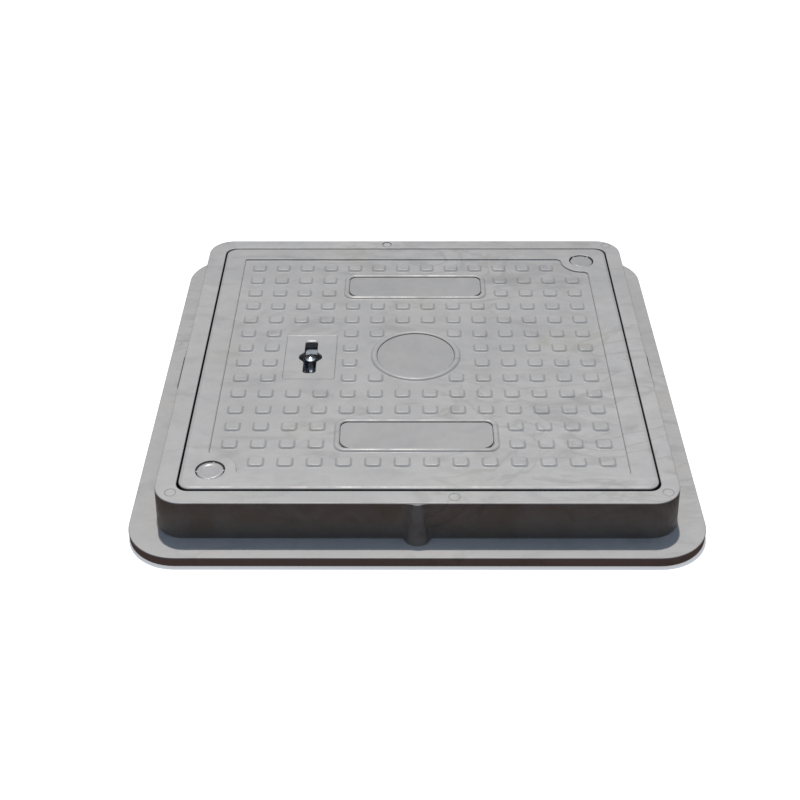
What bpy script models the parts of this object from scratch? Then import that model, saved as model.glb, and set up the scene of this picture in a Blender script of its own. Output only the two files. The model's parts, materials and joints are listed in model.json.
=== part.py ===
"""Square lockable manhole cover in its frame, moulded in resin composite.

Metres, +Z up, +Y to the back. The origin is on the ground under the middle of the frame.
The cover lifts at its left edge about its right edge, where two steel toes hook under the
frame's ledge. A spindle below the key slot turns a crank, and the crank slides a bolt under
the left ledge. The bolt is drawn back here, so the cover is free to lift.
"""

import math

import bmesh
import bpy
from mathutils import Matrix, Vector

# Clearance between touching pieces
GAP = 0.0003
# How far cutters stand out of what they cut, and how far joined solids run into each other
OVER = 0.002
BITE = 0.001

# Frame
HEIGHT = 0.075
FRAME_HALF = 0.350
FRAME_CORNER = 0.039
WALL_DRAFT = 1.0066
FLANGE_HALF = 0.390
FLANGE_CORNER = 0.070
FLANGE_TOP = 0.015
POCKET_HALF = 0.324
POCKET_CORNER = 0.017
OPENING_HALF = 0.300
OPENING_CORNER = 0.020
RELIEF_HALF = 0.322
LEDGE_LOW = 0.021
LEDGE_TOP = 0.035
FLANGE_DRAFT = 0.9985
GUSSET_RADIUS = 0.0165
GUSSET_TOP_RADIUS = 0.0030
GUSSET_TOP = 0.073
GUSSET_SINK = 0.0004
CHANNEL_WIDTH = 0.013
CHANNEL_SHIFT = 0.0005
CHANNEL_LENGTH = 0.092
CHANNEL_TOP = 0.060
CHANNELS_PER_SIDE = 6

# Seat gasket
GASKET_OUTER_HALF = 0.3195
GASKET_OUTER_CORNER = 0.016
GASKET_INNER_HALF = 0.3085
GASKET_INNER_CORNER = 0.008

# Lid
LID_HALF = 0.321
LID_CORNER = 0.0145
LID_DRAFT = 1.0047
LID_LOW = 0.039
PLATE_LOW = 0.065
PANEL_TOP = 0.0722
PANEL_HALF = 0.287
SKIRT_INNER_HALF = 0.309
SKIRT_INNER_CORNER = 0.006
WEB_RISE = 0.004
RIB_LOW = 0.030
RIB_HALF_THICK = 0.004
RIB_REACH = 0.294
RIB_PITCH = 0.080
RIB_LINES = 7

# Studs on the lid
STUD_PITCH = 0.040
STUDS_PER_SIDE = 14
STUD_BASE = 0.0226
STUD_TOP = 0.0192

# Raised rims and the inserts inside them
PLATE_RIM_HALF = (0.1143, 0.037)
PLATE_HALF = (0.1075, 0.030)
PLATE_RIM_CORNER = 0.015
PLATE_CORNER = 0.010
PLATE_OFFSET = 0.200
RING_RADIUS = 0.067
BADGE_RADIUS = 0.059
INSERT_LOW = 0.0700
INSERT_TOP = 0.0728

# Lift holes and their plugs
PLUG_OFFSET = 0.2805
PLUG_RADIUS = 0.0182
PLUG_THICK = 0.008
PLUG_GROOVE = 0.0020
PLUG_BULGE = 0.0352
STEM_RADIUS = 0.014
STEM_LOW = 0.052
STEM_HOLE = 0.0145
LIFT_BOSS_RADIUS = 0.027
LIFT_BOSS_LOW = 0.050
PLUG_LUGS = 4
LUG_ANGLE = math.radians(-5)
LUG_HALF_WIDTH = 0.0015
LUG_SINK = 0.0015
STEM_BORE = 0.009
RING_MIDDLE = 0.059
RING_NECK = 0.0118
RING_HALF_HEIGHT = 0.0019

# Key slot
LOCK = (-0.160, -0.004)
SLOT_HALF = (0.0095, 0.0425)
SLOT_CORNER = 0.005
NOTCH_CORNERS = ((0.0173, 0.0022), (0.0152, 0.0065), (0.0104, 0.0117), (0.0085, 0.0136))
KEY_PLATE_HALF = (0.0385, 0.058)
KEY_PLATE_CORNER = 0.003
KEY_PLATE_THICK = 0.004
LOCK_PAD_LOW = 0.060
LOCK_PAD_RADIUS = 0.063
LOCK_BAY_RADIUS = 0.072
KEY_ROOM_HALF = (0.0375, 0.0430)
KEY_ROOM_CORNER = 0.0370

# Lock cup, bush and spindle
SHEET = 0.002
CUP_RADIUS = 0.026
CUP_FLANGE_RADIUS = 0.061
CUP_FLOOR_LOW = 0.038
CUP_SCREW_RADIUS = 0.055
CUP_SCREW_ANGLE = math.radians(20)
BUSH_RADIUS = 0.012
BUSH_FLANGE_RADIUS = 0.016
BUSH_FLANGE_THICK = 0.0027
BUSH_LOW = 0.0355
SHAFT_RADIUS = 0.008
THREAD_RADIUS = 0.006
THREAD_LOW = 0.0200
COLLAR_RADIUS = 0.013
COLLAR_THICK = 0.003
HEAD_CORNER_RADIUS = 0.0100
HEAD_APEX = 0.0725
HEAD_SLOPE = 0.62
HEAD_CONE_RADIUS = 0.030
HEAD_TIP_RADIUS = 0.0003

# Crank, pin and bolt
CRANK_RADIUS = 0.015
CRANK_ANGLE = math.radians(45)
CRANK_LOW = 0.026
CRANK_TOP = 0.033
CRANK_HUB = 0.0145
CRANK_EYE = 0.009
CRANK_HUB_TURN = 1.9
CRANK_EYE_TURN = 1.25
WASHER_RADIUS = 0.0140
PIN_RADIUS = 0.004
PIN_LOW = 0.0100
NUT_LOW = 0.0206
NUT_FLATS = 0.018
BOLT_LOW = 0.011
BOLT_TOP = 0.018
BOLT_HALF_WIDTH = 0.012
BOLT_TIP = -0.292
BOLT_NOSE = (0.006, 0.004)
YOKE_HALF_LENGTH = 0.016
YOKE_REACH = 0.0225
YOKE_CLEARANCE = 0.0007

# Bolt guides
GUIDE_X = (-0.275, -0.239)
GUIDE_NAMES = ("bolt_guide_outer", "bolt_guide_inner")
GUIDE_HALF_THICK = 0.008
GUIDE_HALF_WIDTH = 0.026
GUIDE_LOW = 0.008
GUIDE_SCREW_OFFSET = 0.0195
GUIDE_PAD_MARGIN = 0.002

# Toe clips under the right edge
TOE_Y = (-0.160, 0.160)
TOE_NAMES = ("toe_clip_front", "toe_clip_rear")
TOE_HALF_WIDTH = 0.025
TOE_THICK = 0.006
TOE_LOW = 0.0095
TOE_TIP = 0.315
TOE_BEND = 0.279
TOE_ROOT = 0.226
TOE_SCREW_X = 0.247
TOE_SCREW_SPREAD = 0.014
TOE_ROUND = 0.002
TOE_PAD_MARGIN = 0.003

# Screws
SCREW_RADIUS = 0.003
SCREW_HEAD_FLATS = 0.010
SCREW_HEAD_HEIGHT = 0.004
SCREW_REACH = 0.010

# Looks: colour, roughness and metallic value
RESIN = ((0.40, 0.40, 0.41), 0.5, 0.0)
SMOOTH_RESIN = ((0.38, 0.38, 0.39), 0.4, 0.0)
RUBBER = ((0.02, 0.02, 0.02), 0.75, 0.0)
STEEL = ((0.62, 0.62, 0.60), 0.35, 1.0)
POLISHED_STEEL = ((0.70, 0.70, 0.68), 0.15, 1.0)
BRONZE = ((0.55, 0.42, 0.16), 0.35, 1.0)
NYLON = ((0.035, 0.035, 0.038), 0.5, 0.0)


def clear_scene():
    for item in list(bpy.data.objects):
        bpy.data.objects.remove(item, do_unlink=True)


def new_collection(name):
    collection = bpy.data.collections.new(name)
    bpy.context.scene.collection.children.link(collection)
    return collection


def material(name, colour, roughness, metallic=0.0):
    made = bpy.data.materials.new(name)
    made.use_nodes = True
    shader = made.node_tree.nodes["Principled BSDF"]
    shader.inputs["Base Color"].default_value = (*colour, 1.0)
    shader.inputs["Roughness"].default_value = roughness
    shader.inputs["Metallic"].default_value = metallic
    return made


def mesh_object(name, shape):
    """A new object from a bmesh, held among the tools until it is finished."""
    mesh = bpy.data.meshes.new(name)
    shape.to_mesh(mesh)
    shape.free()
    made = bpy.data.objects.new(name, mesh)
    TOOLS.objects.link(made)
    made.hide_render = True
    made.display_type = "WIRE"
    return made


def hold(child, carrier):
    """Parents the child to the carrier and leaves it where it is."""
    child.parent = carrier
    child.matrix_parent_inverse = Matrix.Translation(-Vector(carrier["place"]))


def joint_axis(name, place, carrier=None):
    """An empty on a joint's axis, which carries the pieces that move on that joint."""
    axis = bpy.data.objects.new(name, None)
    axis.empty_display_size = 0.05
    axis["place"] = place
    COVER.objects.link(axis)
    axis.location = place
    if carrier is not None:
        hold(axis, carrier)
    return axis


def finish(piece, look, carrier=None, smooth=False):
    """Moves a piece from the tools to the object's own collection."""
    TOOLS.objects.unlink(piece)
    COVER.objects.link(piece)
    piece.hide_render = False
    piece.display_type = "TEXTURED"
    piece.data.materials.append(material(piece.name, *look))
    if smooth:
        piece.data.shade_smooth()
        piece.data.set_sharp_from_angle(angle=math.radians(35))
    if carrier is not None:
        hold(piece, carrier)


def box(name, low, high):
    shape = bmesh.new()
    bmesh.ops.create_cube(shape, size=1.0)
    size = [high[i] - low[i] for i in range(3)]
    middle = [(high[i] + low[i]) / 2 for i in range(3)]
    bmesh.ops.scale(shape, vec=size, verts=shape.verts)
    bmesh.ops.translate(shape, vec=middle, verts=shape.verts)
    return mesh_object(name, shape)


def cone(name, centre, low, high, low_radius, high_radius, segments=32, turn=0.0):
    shape = bmesh.new()
    place = Matrix.Translation((centre[0], centre[1], (low + high) / 2)) @ Matrix.Rotation(turn, 4, "Z")
    bmesh.ops.create_cone(
        shape, cap_ends=True, segments=segments, radius1=low_radius, radius2=high_radius,
        depth=high - low, matrix=place,
    )
    return mesh_object(name, shape)


def cylinder(name, centre, low, high, radius, segments=32):
    return cone(name, centre, low, high, radius, radius, segments)


def prism(name, centre, low, high, flats, sides):
    """Upright prism with the given size across its flats, one flat facing the front."""
    radius = flats / 2 / math.cos(math.pi / sides)
    return cone(name, centre, low, high, radius, radius, sides, math.pi / sides)


def rounded_outline(half_x, half_y, corner, steps=8):
    """Points of a rounded rectangle, each corner an arc."""
    points = []
    for turn, (sign_x, sign_y) in enumerate([(1, 1), (-1, 1), (-1, -1), (1, -1)]):
        for step in range(steps + 1):
            angle = math.pi / 2 * (turn + step / steps)
            x = sign_x * (half_x - corner) + corner * math.cos(angle)
            y = sign_y * (half_y - corner) + corner * math.sin(angle)
            points.append((x, y))
    return points


def arc_outline(centre, radius, start, end, steps=16):
    angles = [start + (end - start) * step / steps for step in range(steps + 1)]
    return [(centre[0] + radius * math.cos(a), centre[1] + radius * math.sin(a)) for a in angles]


def slab(name, outline, low, high, centre=(0.0, 0.0), foot_scale=1.0):
    """Flat outline extruded from low to high, its foot scaled for draft."""
    curve = bpy.data.curves.new(name, "CURVE")
    curve.dimensions = "2D"
    curve.fill_mode = "BOTH"
    curve.extrude = (high - low) / 2
    spline = curve.splines.new("POLY")
    spline.points.add(len(outline) - 1)
    for point, (x, y) in zip(spline.points, outline):
        point.co = (x, y, 0.0, 1.0)
    spline.use_cyclic_u = True
    drawn = bpy.data.objects.new(name + "_outline", curve)
    TOOLS.objects.link(drawn)
    graph = bpy.context.evaluated_depsgraph_get()
    mesh = bpy.data.meshes.new_from_object(drawn.evaluated_get(graph))
    shape = bmesh.new()
    shape.from_mesh(mesh)
    bmesh.ops.remove_doubles(shape, verts=shape.verts, dist=0.00002)
    bmesh.ops.recalc_face_normals(shape, faces=shape.faces)
    bmesh.ops.translate(shape, vec=(0.0, 0.0, (low + high) / 2), verts=shape.verts)
    for vertex in shape.verts:
        if vertex.co.z < (low + high) / 2:
            vertex.co.xy *= foot_scale
    bmesh.ops.translate(shape, vec=(*centre, 0.0), verts=shape.verts)
    bpy.data.objects.remove(drawn, do_unlink=True)
    bpy.data.meshes.remove(mesh)
    return mesh_object(name, shape)


def square_slab(name, half, corner, low, high, foot_scale=1.0):
    return slab(name, rounded_outline(half, half, corner), low, high, foot_scale=foot_scale)


def turned(name, profile, centre, segments=48):
    """Profile of (radius, height), down its outer side and back up, turned round Z."""
    shape = bmesh.new()
    corners = [shape.verts.new((radius, 0.0, height)) for radius, height in profile]
    for index, corner in enumerate(corners):
        shape.edges.new((corner, corners[(index + 1) % len(corners)]))
    piece = mesh_object(name, shape)
    screw = piece.modifiers.new("turn", "SCREW")
    screw.axis = "Z"
    screw.steps = segments
    screw.render_steps = segments
    screw.use_merge_vertices = True
    screw.merge_threshold = 0.00002
    piece.location = (*centre, 0.0)
    return piece


def boolean(target, tools, operation):
    """One Boolean on the target with all the tools, which go in a collection of their own."""
    group = bpy.data.collections.new(f"{target.name}_{operation.lower()}")
    TOOLS.children.link(group)
    for tool in tools:
        TOOLS.objects.unlink(tool)
        group.objects.link(tool)
    modifier = target.modifiers.new(operation.lower(), "BOOLEAN")
    modifier.operation = operation
    modifier.solver = "EXACT"
    modifier.operand_type = "COLLECTION"
    modifier.collection = group


def four_sides(make):
    """Calls make(side) for the front, right, back and left, and turns each result there."""
    made = []
    for side in range(4):
        piece = make(side)
        piece.data.transform(Matrix.Rotation(side * math.pi / 2, 4, "Z"))
        made.append(piece)
    return made


# ---------------------------------------------------------------- frame and gasket


def gusset(side):
    """Half cone against the wall, wide at the flange and narrow under the rim."""
    centre = (0.0, -FRAME_HALF + GUSSET_SINK)
    return cone(f"gusset_{side}", centre, FLANGE_TOP - OVER, GUSSET_TOP, GUSSET_RADIUS, GUSSET_TOP_RADIUS, 24)


def underside_channels(side):
    """Hollows between the inner and outer skins of one wall, open below."""
    pitch = 2 * RELIEF_HALF / CHANNELS_PER_SIDE
    middle = -(RELIEF_HALF + FRAME_HALF) / 2
    shape = bmesh.new()
    for index in range(CHANNELS_PER_SIDE):
        x = (index - (CHANNELS_PER_SIDE - 1) / 2) * pitch
        place = Matrix.Translation((x, middle - CHANNEL_SHIFT, (CHANNEL_TOP - OVER) / 2))
        size = Matrix.Diagonal((CHANNEL_LENGTH, CHANNEL_WIDTH, CHANNEL_TOP + OVER, 1.0))
        bmesh.ops.create_cube(shape, size=1.0, matrix=place @ size)
    return mesh_object(f"channels_{side}", shape)


def make_frame():
    frame = square_slab("frame", FRAME_HALF, FRAME_CORNER, FLANGE_TOP - BITE, HEIGHT, WALL_DRAFT)
    flange = square_slab("flange", FLANGE_HALF, FLANGE_CORNER, 0.0, FLANGE_TOP, FLANGE_DRAFT)
    boolean(frame, [flange] + four_sides(gusset), "UNION")
    pocket = square_slab("pocket", POCKET_HALF, POCKET_CORNER, LEDGE_TOP, HEIGHT + OVER)
    opening = square_slab("opening", OPENING_HALF, OPENING_CORNER, -OVER, LEDGE_TOP + OVER)
    relief = square_slab("relief", RELIEF_HALF, OPENING_CORNER, -2 * OVER, LEDGE_LOW)
    boolean(frame, [pocket, opening, relief] + four_sides(underside_channels), "DIFFERENCE")
    finish(frame, RESIN)


def make_gasket():
    low, high = LEDGE_TOP + GAP, LID_LOW - GAP
    gasket = square_slab("seat_gasket", GASKET_OUTER_HALF, GASKET_OUTER_CORNER, low, high)
    hole = square_slab("gasket_hole", GASKET_INNER_HALF, GASKET_INNER_CORNER, low - OVER, high + OVER)
    boolean(gasket, [hole], "DIFFERENCE")
    finish(gasket, RUBBER)


# ---------------------------------------------------------------- lid


def has_stud(column, row):
    """Whether the grid has a stud there, counted from the back left corner."""
    if (column, row) in ((14, 1), (1, 14)):
        return False
    if 5 <= column <= 10 and row in (2, 3, 12, 13):
        return False
    if column in (3, 4) and 6 <= row <= 9:
        return False
    if column in (7, 8) and 6 <= row <= 9:
        return False
    return not (column in (6, 9) and row in (7, 8))


def make_studs():
    shape = bmesh.new()
    middle = (STUDS_PER_SIDE + 1) / 2
    low = PANEL_TOP - BITE
    diagonal = math.sqrt(0.5)
    for row in range(1, STUDS_PER_SIDE + 1):
        for column in range(1, STUDS_PER_SIDE + 1):
            if not has_stud(column, row):
                continue
            x = (column - middle) * STUD_PITCH
            y = (middle - row) * STUD_PITCH
            place = Matrix.Translation((x, y, (low + HEIGHT) / 2)) @ Matrix.Rotation(math.pi / 4, 4, "Z")
            bmesh.ops.create_cone(
                shape, cap_ends=True, segments=4, radius1=STUD_BASE * diagonal,
                radius2=STUD_TOP * diagonal, depth=HEIGHT - low, matrix=place,
            )
    return mesh_object("studs", shape)


def panel_outline():
    """Outline of the sunk panel, with a bite round each lift plug."""
    half = PANEL_HALF
    centre = (PLUG_OFFSET, PLUG_OFFSET)
    reach = math.sqrt(PLUG_BULGE**2 - (half - PLUG_OFFSET) ** 2)
    start = math.atan2(half - PLUG_OFFSET, -reach)
    end = math.atan2(-reach, half - PLUG_OFFSET)
    back_right = arc_outline(centre, PLUG_BULGE, start, end + 2 * math.pi)
    front_left = [(-x, -y) for x, y in back_right]
    return back_right + [(half, -half)] + front_left + [(-half, half)]


def underside_ribs():
    """Two sets of crossing ribs, left out over the lock bay, and the skirt of the rim."""
    ribs = []
    for index in range(RIB_LINES):
        place = (index - (RIB_LINES - 1) / 2) * RIB_PITCH
        near, far = place - RIB_HALF_THICK, place + RIB_HALF_THICK
        reach = SKIRT_INNER_HALF + BITE
        web_low, top = LID_LOW + WEB_RISE, PLATE_LOW + BITE
        ribs.append(box(f"rib_x{index}", (near, -RIB_REACH, RIB_LOW), (far, RIB_REACH, top)))
        ribs.append(box(f"rib_y{index}", (-RIB_REACH, near, RIB_LOW), (RIB_REACH, far, top)))
        ribs.append(box(f"web_x{index}", (near, -reach, web_low), (far, reach, top)))
        ribs.append(box(f"web_y{index}", (-reach, near, web_low), (reach, far, top)))
    return ribs


def lid_pads():
    """Thick places under the plate that take the screws of the guides and toes."""
    pads = []
    top = PLATE_LOW + BITE
    half_x, half_y = GUIDE_HALF_THICK + GUIDE_PAD_MARGIN, GUIDE_HALF_WIDTH + GUIDE_PAD_MARGIN
    for index, x in enumerate(GUIDE_X):
        low = (x - half_x, LOCK[1] - half_y, RIB_LOW)
        pads.append(box(f"guide_pad_{index}", low, (x + half_x, LOCK[1] + half_y, top)))
    half_y = TOE_HALF_WIDTH + TOE_PAD_MARGIN
    for index, y in enumerate(TOE_Y):
        low = (TOE_ROOT - TOE_PAD_MARGIN, y - half_y, RIB_LOW)
        high = (TOE_BEND - TOE_THICK - TOE_ROUND, y + half_y, top)
        pads.append(box(f"toe_pad_{index}", low, high))
    return pads


def plug_places():
    return ((-PLUG_OFFSET, -PLUG_OFFSET), (PLUG_OFFSET, PLUG_OFFSET))


def slot_tools(name):
    """Cutters for the key slot: the slot itself and its two side notches."""
    low, high = LOCK_PAD_LOW - OVER, HEIGHT + OVER
    slot = slab(f"{name}_slot", rounded_outline(*SLOT_HALF, SLOT_CORNER), low, high, LOCK)
    back = list(NOTCH_CORNERS) + [(-x, y) for x, y in reversed(NOTCH_CORNERS)]
    outline = back + [(-x, -y) for x, y in back]
    return [slot, slab(f"{name}_notch", outline, low - BITE, high + BITE, LOCK)]


def screw_holes(name, places, low, high):
    radius = SCREW_RADIUS + GAP
    return [cylinder(f"{name}_{i}", place, low, high, radius, 16) for i, place in enumerate(places)]


def cup_screw_places():
    across = CUP_SCREW_RADIUS * math.cos(CUP_SCREW_ANGLE)
    along = CUP_SCREW_RADIUS * math.sin(CUP_SCREW_ANGLE)
    return [(LOCK[0] + i * across, LOCK[1] + j * along) for i in (-1, 1) for j in (-1, 1)]


def guide_screw_places():
    return [(x, LOCK[1] + side * GUIDE_SCREW_OFFSET) for x in GUIDE_X for side in (-1, 1)]


def toe_screw_places():
    return [(TOE_SCREW_X, y + side * TOE_SCREW_SPREAD) for y in TOE_Y for side in (-1, 1)]


def make_lid():
    lid = square_slab("lid", LID_HALF, LID_CORNER, LID_LOW, HEIGHT, 1.0 / LID_DRAFT)
    hollow = square_slab("lid_hollow", SKIRT_INNER_HALF, SKIRT_INNER_CORNER, LID_LOW - OVER, PLATE_LOW)
    panel = slab("panel", panel_outline(), PANEL_TOP, HEIGHT + OVER)
    boolean(lid, [hollow, panel], "DIFFERENCE")

    boolean(lid, underside_ribs() + lid_pads(), "UNION")
    bay = cylinder("lock_bay", LOCK, RIB_LOW - OVER, PLATE_LOW - GAP, LOCK_BAY_RADIUS, 8)
    boolean(lid, [bay], "DIFFERENCE")

    rims = [cylinder("ring", (0.0, 0.0), PANEL_TOP - BITE, HEIGHT, RING_RADIUS, 64)]
    for side in (-1, 1):
        outline = rounded_outline(*PLATE_RIM_HALF, PLATE_RIM_CORNER, 6)
        rims.append(slab(f"rim_{side}", outline, PANEL_TOP - BITE, HEIGHT, (0.0, side * PLATE_OFFSET)))
    top = PLATE_LOW + BITE
    bosses = [cylinder(f"boss_{x}", (x, y), LIFT_BOSS_LOW, top, LIFT_BOSS_RADIUS) for x, y in plug_places()]
    lock_pad = cylinder("lock_pad", LOCK, LOCK_PAD_LOW, top, LOCK_PAD_RADIUS)
    boolean(lid, [make_studs(), lock_pad] + rims + bosses, "UNION")

    above = HEIGHT + OVER
    cuts = [cylinder("badge_seat", (0.0, 0.0), INSERT_LOW - GAP, above, BADGE_RADIUS, 64)]
    for side in (-1, 1):
        outline = rounded_outline(*PLATE_HALF, PLATE_CORNER, 6)
        seat = slab(f"seat_{side}", outline, INSERT_LOW - GAP, above, (0.0, side * PLATE_OFFSET))
        cuts.append(seat)
    for x, y in plug_places():
        sink = HEIGHT - PLUG_THICK - GAP
        cuts.append(cylinder(f"plug_seat_{x}", (x, y), sink, above, PLUG_RADIUS + PLUG_GROOVE))
        cuts.append(cylinder(f"stem_hole_{x}", (x, y), LIFT_BOSS_LOW - OVER, sink + BITE, STEM_HOLE))
    half = [size + GAP for size in KEY_PLATE_HALF]
    key_seat_low = PANEL_TOP - KEY_PLATE_THICK - GAP
    cuts.append(slab("key_seat", rounded_outline(*half, KEY_PLATE_CORNER, 4), key_seat_low, above, LOCK))
    room = rounded_outline(*KEY_ROOM_HALF, KEY_ROOM_CORNER, 12)
    cuts.append(slab("key_room", room, LOCK_PAD_LOW - OVER, key_seat_low + BITE, LOCK))
    cuts += screw_holes("cup_hole", cup_screw_places(), LOCK_PAD_LOW - OVER, LOCK_PAD_LOW + SCREW_REACH)
    cuts += screw_holes("guide_hole", guide_screw_places(), RIB_LOW - OVER, RIB_LOW + SCREW_REACH)
    cuts += screw_holes("toe_hole", toe_screw_places(), RIB_LOW - OVER, RIB_LOW + SCREW_REACH)
    boolean(lid, cuts, "DIFFERENCE")
    finish(lid, RESIN, LID_AXIS)


def make_inserts():
    for name, side in (("nameplate_front", -1), ("nameplate_rear", 1)):
        half = [size - GAP for size in PLATE_HALF]
        outline = rounded_outline(*half, PLATE_CORNER - GAP, 6)
        insert = slab(name, outline, INSERT_LOW, INSERT_TOP, (0.0, side * PLATE_OFFSET))
        finish(insert, SMOOTH_RESIN, LID_AXIS)
    badge = cylinder("centre_badge", (0.0, 0.0), INSERT_LOW, INSERT_TOP, BADGE_RADIUS - GAP, 64)
    finish(badge, SMOOTH_RESIN, LID_AXIS)
    outline = rounded_outline(*KEY_PLATE_HALF, KEY_PLATE_CORNER, 4)
    plate = slab("keyhole_plate", outline, PANEL_TOP - KEY_PLATE_THICK, PANEL_TOP, LOCK)
    boolean(plate, slot_tools("keyhole_plate"), "DIFFERENCE")
    finish(plate, RESIN, LID_AXIS)


def make_plugs():
    """Lift-hole plugs: a flush disc with four lugs in its groove, and a stem with a rubber ring."""
    disc_low = HEIGHT - PLUG_THICK
    profile = [
        (STEM_RADIUS, disc_low + BITE),
        (STEM_RADIUS, RING_MIDDLE + RING_HALF_HEIGHT),
        (RING_NECK, RING_MIDDLE + RING_HALF_HEIGHT),
        (RING_NECK, RING_MIDDLE - RING_HALF_HEIGHT),
        (STEM_RADIUS, RING_MIDDLE - RING_HALF_HEIGHT),
        (STEM_RADIUS, STEM_LOW + BITE),
        (STEM_RADIUS - BITE, STEM_LOW),
        (STEM_BORE, STEM_LOW),
        (STEM_BORE, disc_low + BITE),
    ]
    lug_low = (PLUG_RADIUS - BITE, -LUG_HALF_WIDTH, disc_low)
    lug_high = (PLUG_RADIUS + PLUG_GROOVE - GAP, LUG_HALF_WIDTH, HEIGHT - LUG_SINK)
    for place, where in zip(plug_places(), ("front_left", "back_right")):
        plug = cylinder(f"lift_plug_{where}", place, disc_low, HEIGHT, PLUG_RADIUS)
        stem = turned(f"stem_{where}", profile, place, 24)
        lugs = []
        for index in range(PLUG_LUGS):
            angle = LUG_ANGLE + index * math.pi / 2
            lug = box(f"lug_{where}_{index}", lug_low, lug_high)
            turn = Matrix.Translation((*place, 0.0)) @ Matrix.Rotation(angle, 4, "Z")
            lug.data.transform(turn)
            lugs.append(lug)
        boolean(plug, [stem] + lugs, "UNION")
        axis = joint_axis(f"plug_axis_{where}", (*place, HEIGHT), LID_AXIS)
        finish(plug, RESIN, axis)
        ring_radius = (RING_NECK + STEM_HOLE) / 2
        thick = (STEM_HOLE - RING_NECK) / 2 - GAP
        outline = arc_outline((ring_radius, RING_MIDDLE), thick, 0.0, -2 * math.pi, 6)[:-1]
        ring = turned(f"plug_ring_{where}", outline, place, 24)
        finish(ring, RUBBER, axis)


# ---------------------------------------------------------------- lock


def make_cup():
    """Steel cup under the key slot, with a flange screwed to the lid."""
    top = LOCK_PAD_LOW - GAP
    profile = [
        (CUP_FLANGE_RADIUS, top),
        (CUP_FLANGE_RADIUS, top - SHEET),
        (CUP_RADIUS + SHEET, top - SHEET),
        (CUP_RADIUS + SHEET, CUP_FLOOR_LOW + SHEET),
        (CUP_RADIUS, CUP_FLOOR_LOW),
        (BUSH_RADIUS + GAP, CUP_FLOOR_LOW),
        (BUSH_RADIUS + GAP, CUP_FLOOR_LOW + SHEET),
        (CUP_RADIUS - BITE, CUP_FLOOR_LOW + SHEET),
        (CUP_RADIUS, CUP_FLOOR_LOW + SHEET + BITE),
        (CUP_RADIUS, top),
    ]
    cup = turned("lock_housing", profile, LOCK, 36)
    holes = screw_holes("cup_flange_hole", cup_screw_places(), top - SHEET - OVER, top + OVER)
    boolean(cup, holes, "DIFFERENCE")
    finish(cup, STEEL, LID_AXIS, smooth=True)


def make_bush():
    seat = CUP_FLOOR_LOW + SHEET + GAP
    profile = [
        (BUSH_FLANGE_RADIUS, seat + BUSH_FLANGE_THICK),
        (BUSH_FLANGE_RADIUS, seat),
        (BUSH_RADIUS, seat),
        (BUSH_RADIUS, BUSH_LOW),
        (SHAFT_RADIUS + GAP, BUSH_LOW),
        (SHAFT_RADIUS + GAP, seat + BUSH_FLANGE_THICK),
    ]
    finish(turned("spindle_bush", profile, LOCK, 32), BRONZE, LID_AXIS, smooth=True)


def make_spindle():
    """Square key head with a coned top and one corner to the front, on a collar and a round shaft."""
    collar_low = CUP_FLOOR_LOW + SHEET + BUSH_FLANGE_THICK + 2 * GAP
    collar_top = collar_low + COLLAR_THICK
    head = cone("head", LOCK, collar_top - BITE, HEIGHT, HEAD_CORNER_RADIUS, HEAD_CORNER_RADIUS, 4)
    cone_low = HEAD_APEX - HEAD_CONE_RADIUS * HEAD_SLOPE
    coned = cone("head_cone", LOCK, cone_low, HEAD_APEX, HEAD_CONE_RADIUS, HEAD_TIP_RADIUS, 32)
    below = cylinder("head_below", LOCK, collar_low - OVER, cone_low + BITE, HEAD_CONE_RADIUS)
    boolean(coned, [below], "UNION")
    boolean(head, [coned], "INTERSECT")
    spindle = cylinder("lock_spindle", LOCK, CRANK_LOW - GAP, collar_low + BITE, SHAFT_RADIUS)
    thread = cylinder("thread", LOCK, THREAD_LOW, CRANK_LOW + BITE, THREAD_RADIUS, 24)
    collar = cylinder("collar", LOCK, collar_low, collar_top, COLLAR_RADIUS)
    boolean(spindle, [thread, collar, head], "UNION")
    finish(spindle, POLISHED_STEEL, SPINDLE_AXIS, smooth=True)


def pin_place():
    return (
        LOCK[0] + CRANK_RADIUS * math.cos(CRANK_ANGLE),
        LOCK[1] + CRANK_RADIUS * math.sin(CRANK_ANGLE),
    )


def make_crank():
    pin = pin_place()
    hub_start, hub_end = CRANK_ANGLE + CRANK_HUB_TURN, CRANK_ANGLE + 2 * math.pi - CRANK_HUB_TURN
    hub = arc_outline(LOCK, CRANK_HUB, hub_start, hub_end)
    eye = arc_outline(pin, CRANK_EYE, CRANK_ANGLE - CRANK_EYE_TURN, CRANK_ANGLE + CRANK_EYE_TURN, 10)
    crank = slab("crank_arm", hub + eye, CRANK_LOW, CRANK_TOP)
    holes = [
        cylinder("crank_bore", LOCK, CRANK_LOW - OVER, CRANK_TOP + OVER, SHAFT_RADIUS + GAP),
        cylinder("crank_eye", pin, CRANK_LOW - OVER, CRANK_TOP + OVER, PIN_RADIUS + GAP, 24),
    ]
    boolean(crank, holes, "DIFFERENCE")
    finish(crank, STEEL, SPINDLE_AXIS, smooth=True)
    stud = cylinder("crank_pin", pin, PIN_LOW, CRANK_TOP - GAP, PIN_RADIUS, 24)
    finish(stud, STEEL, SPINDLE_AXIS, smooth=True)


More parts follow.
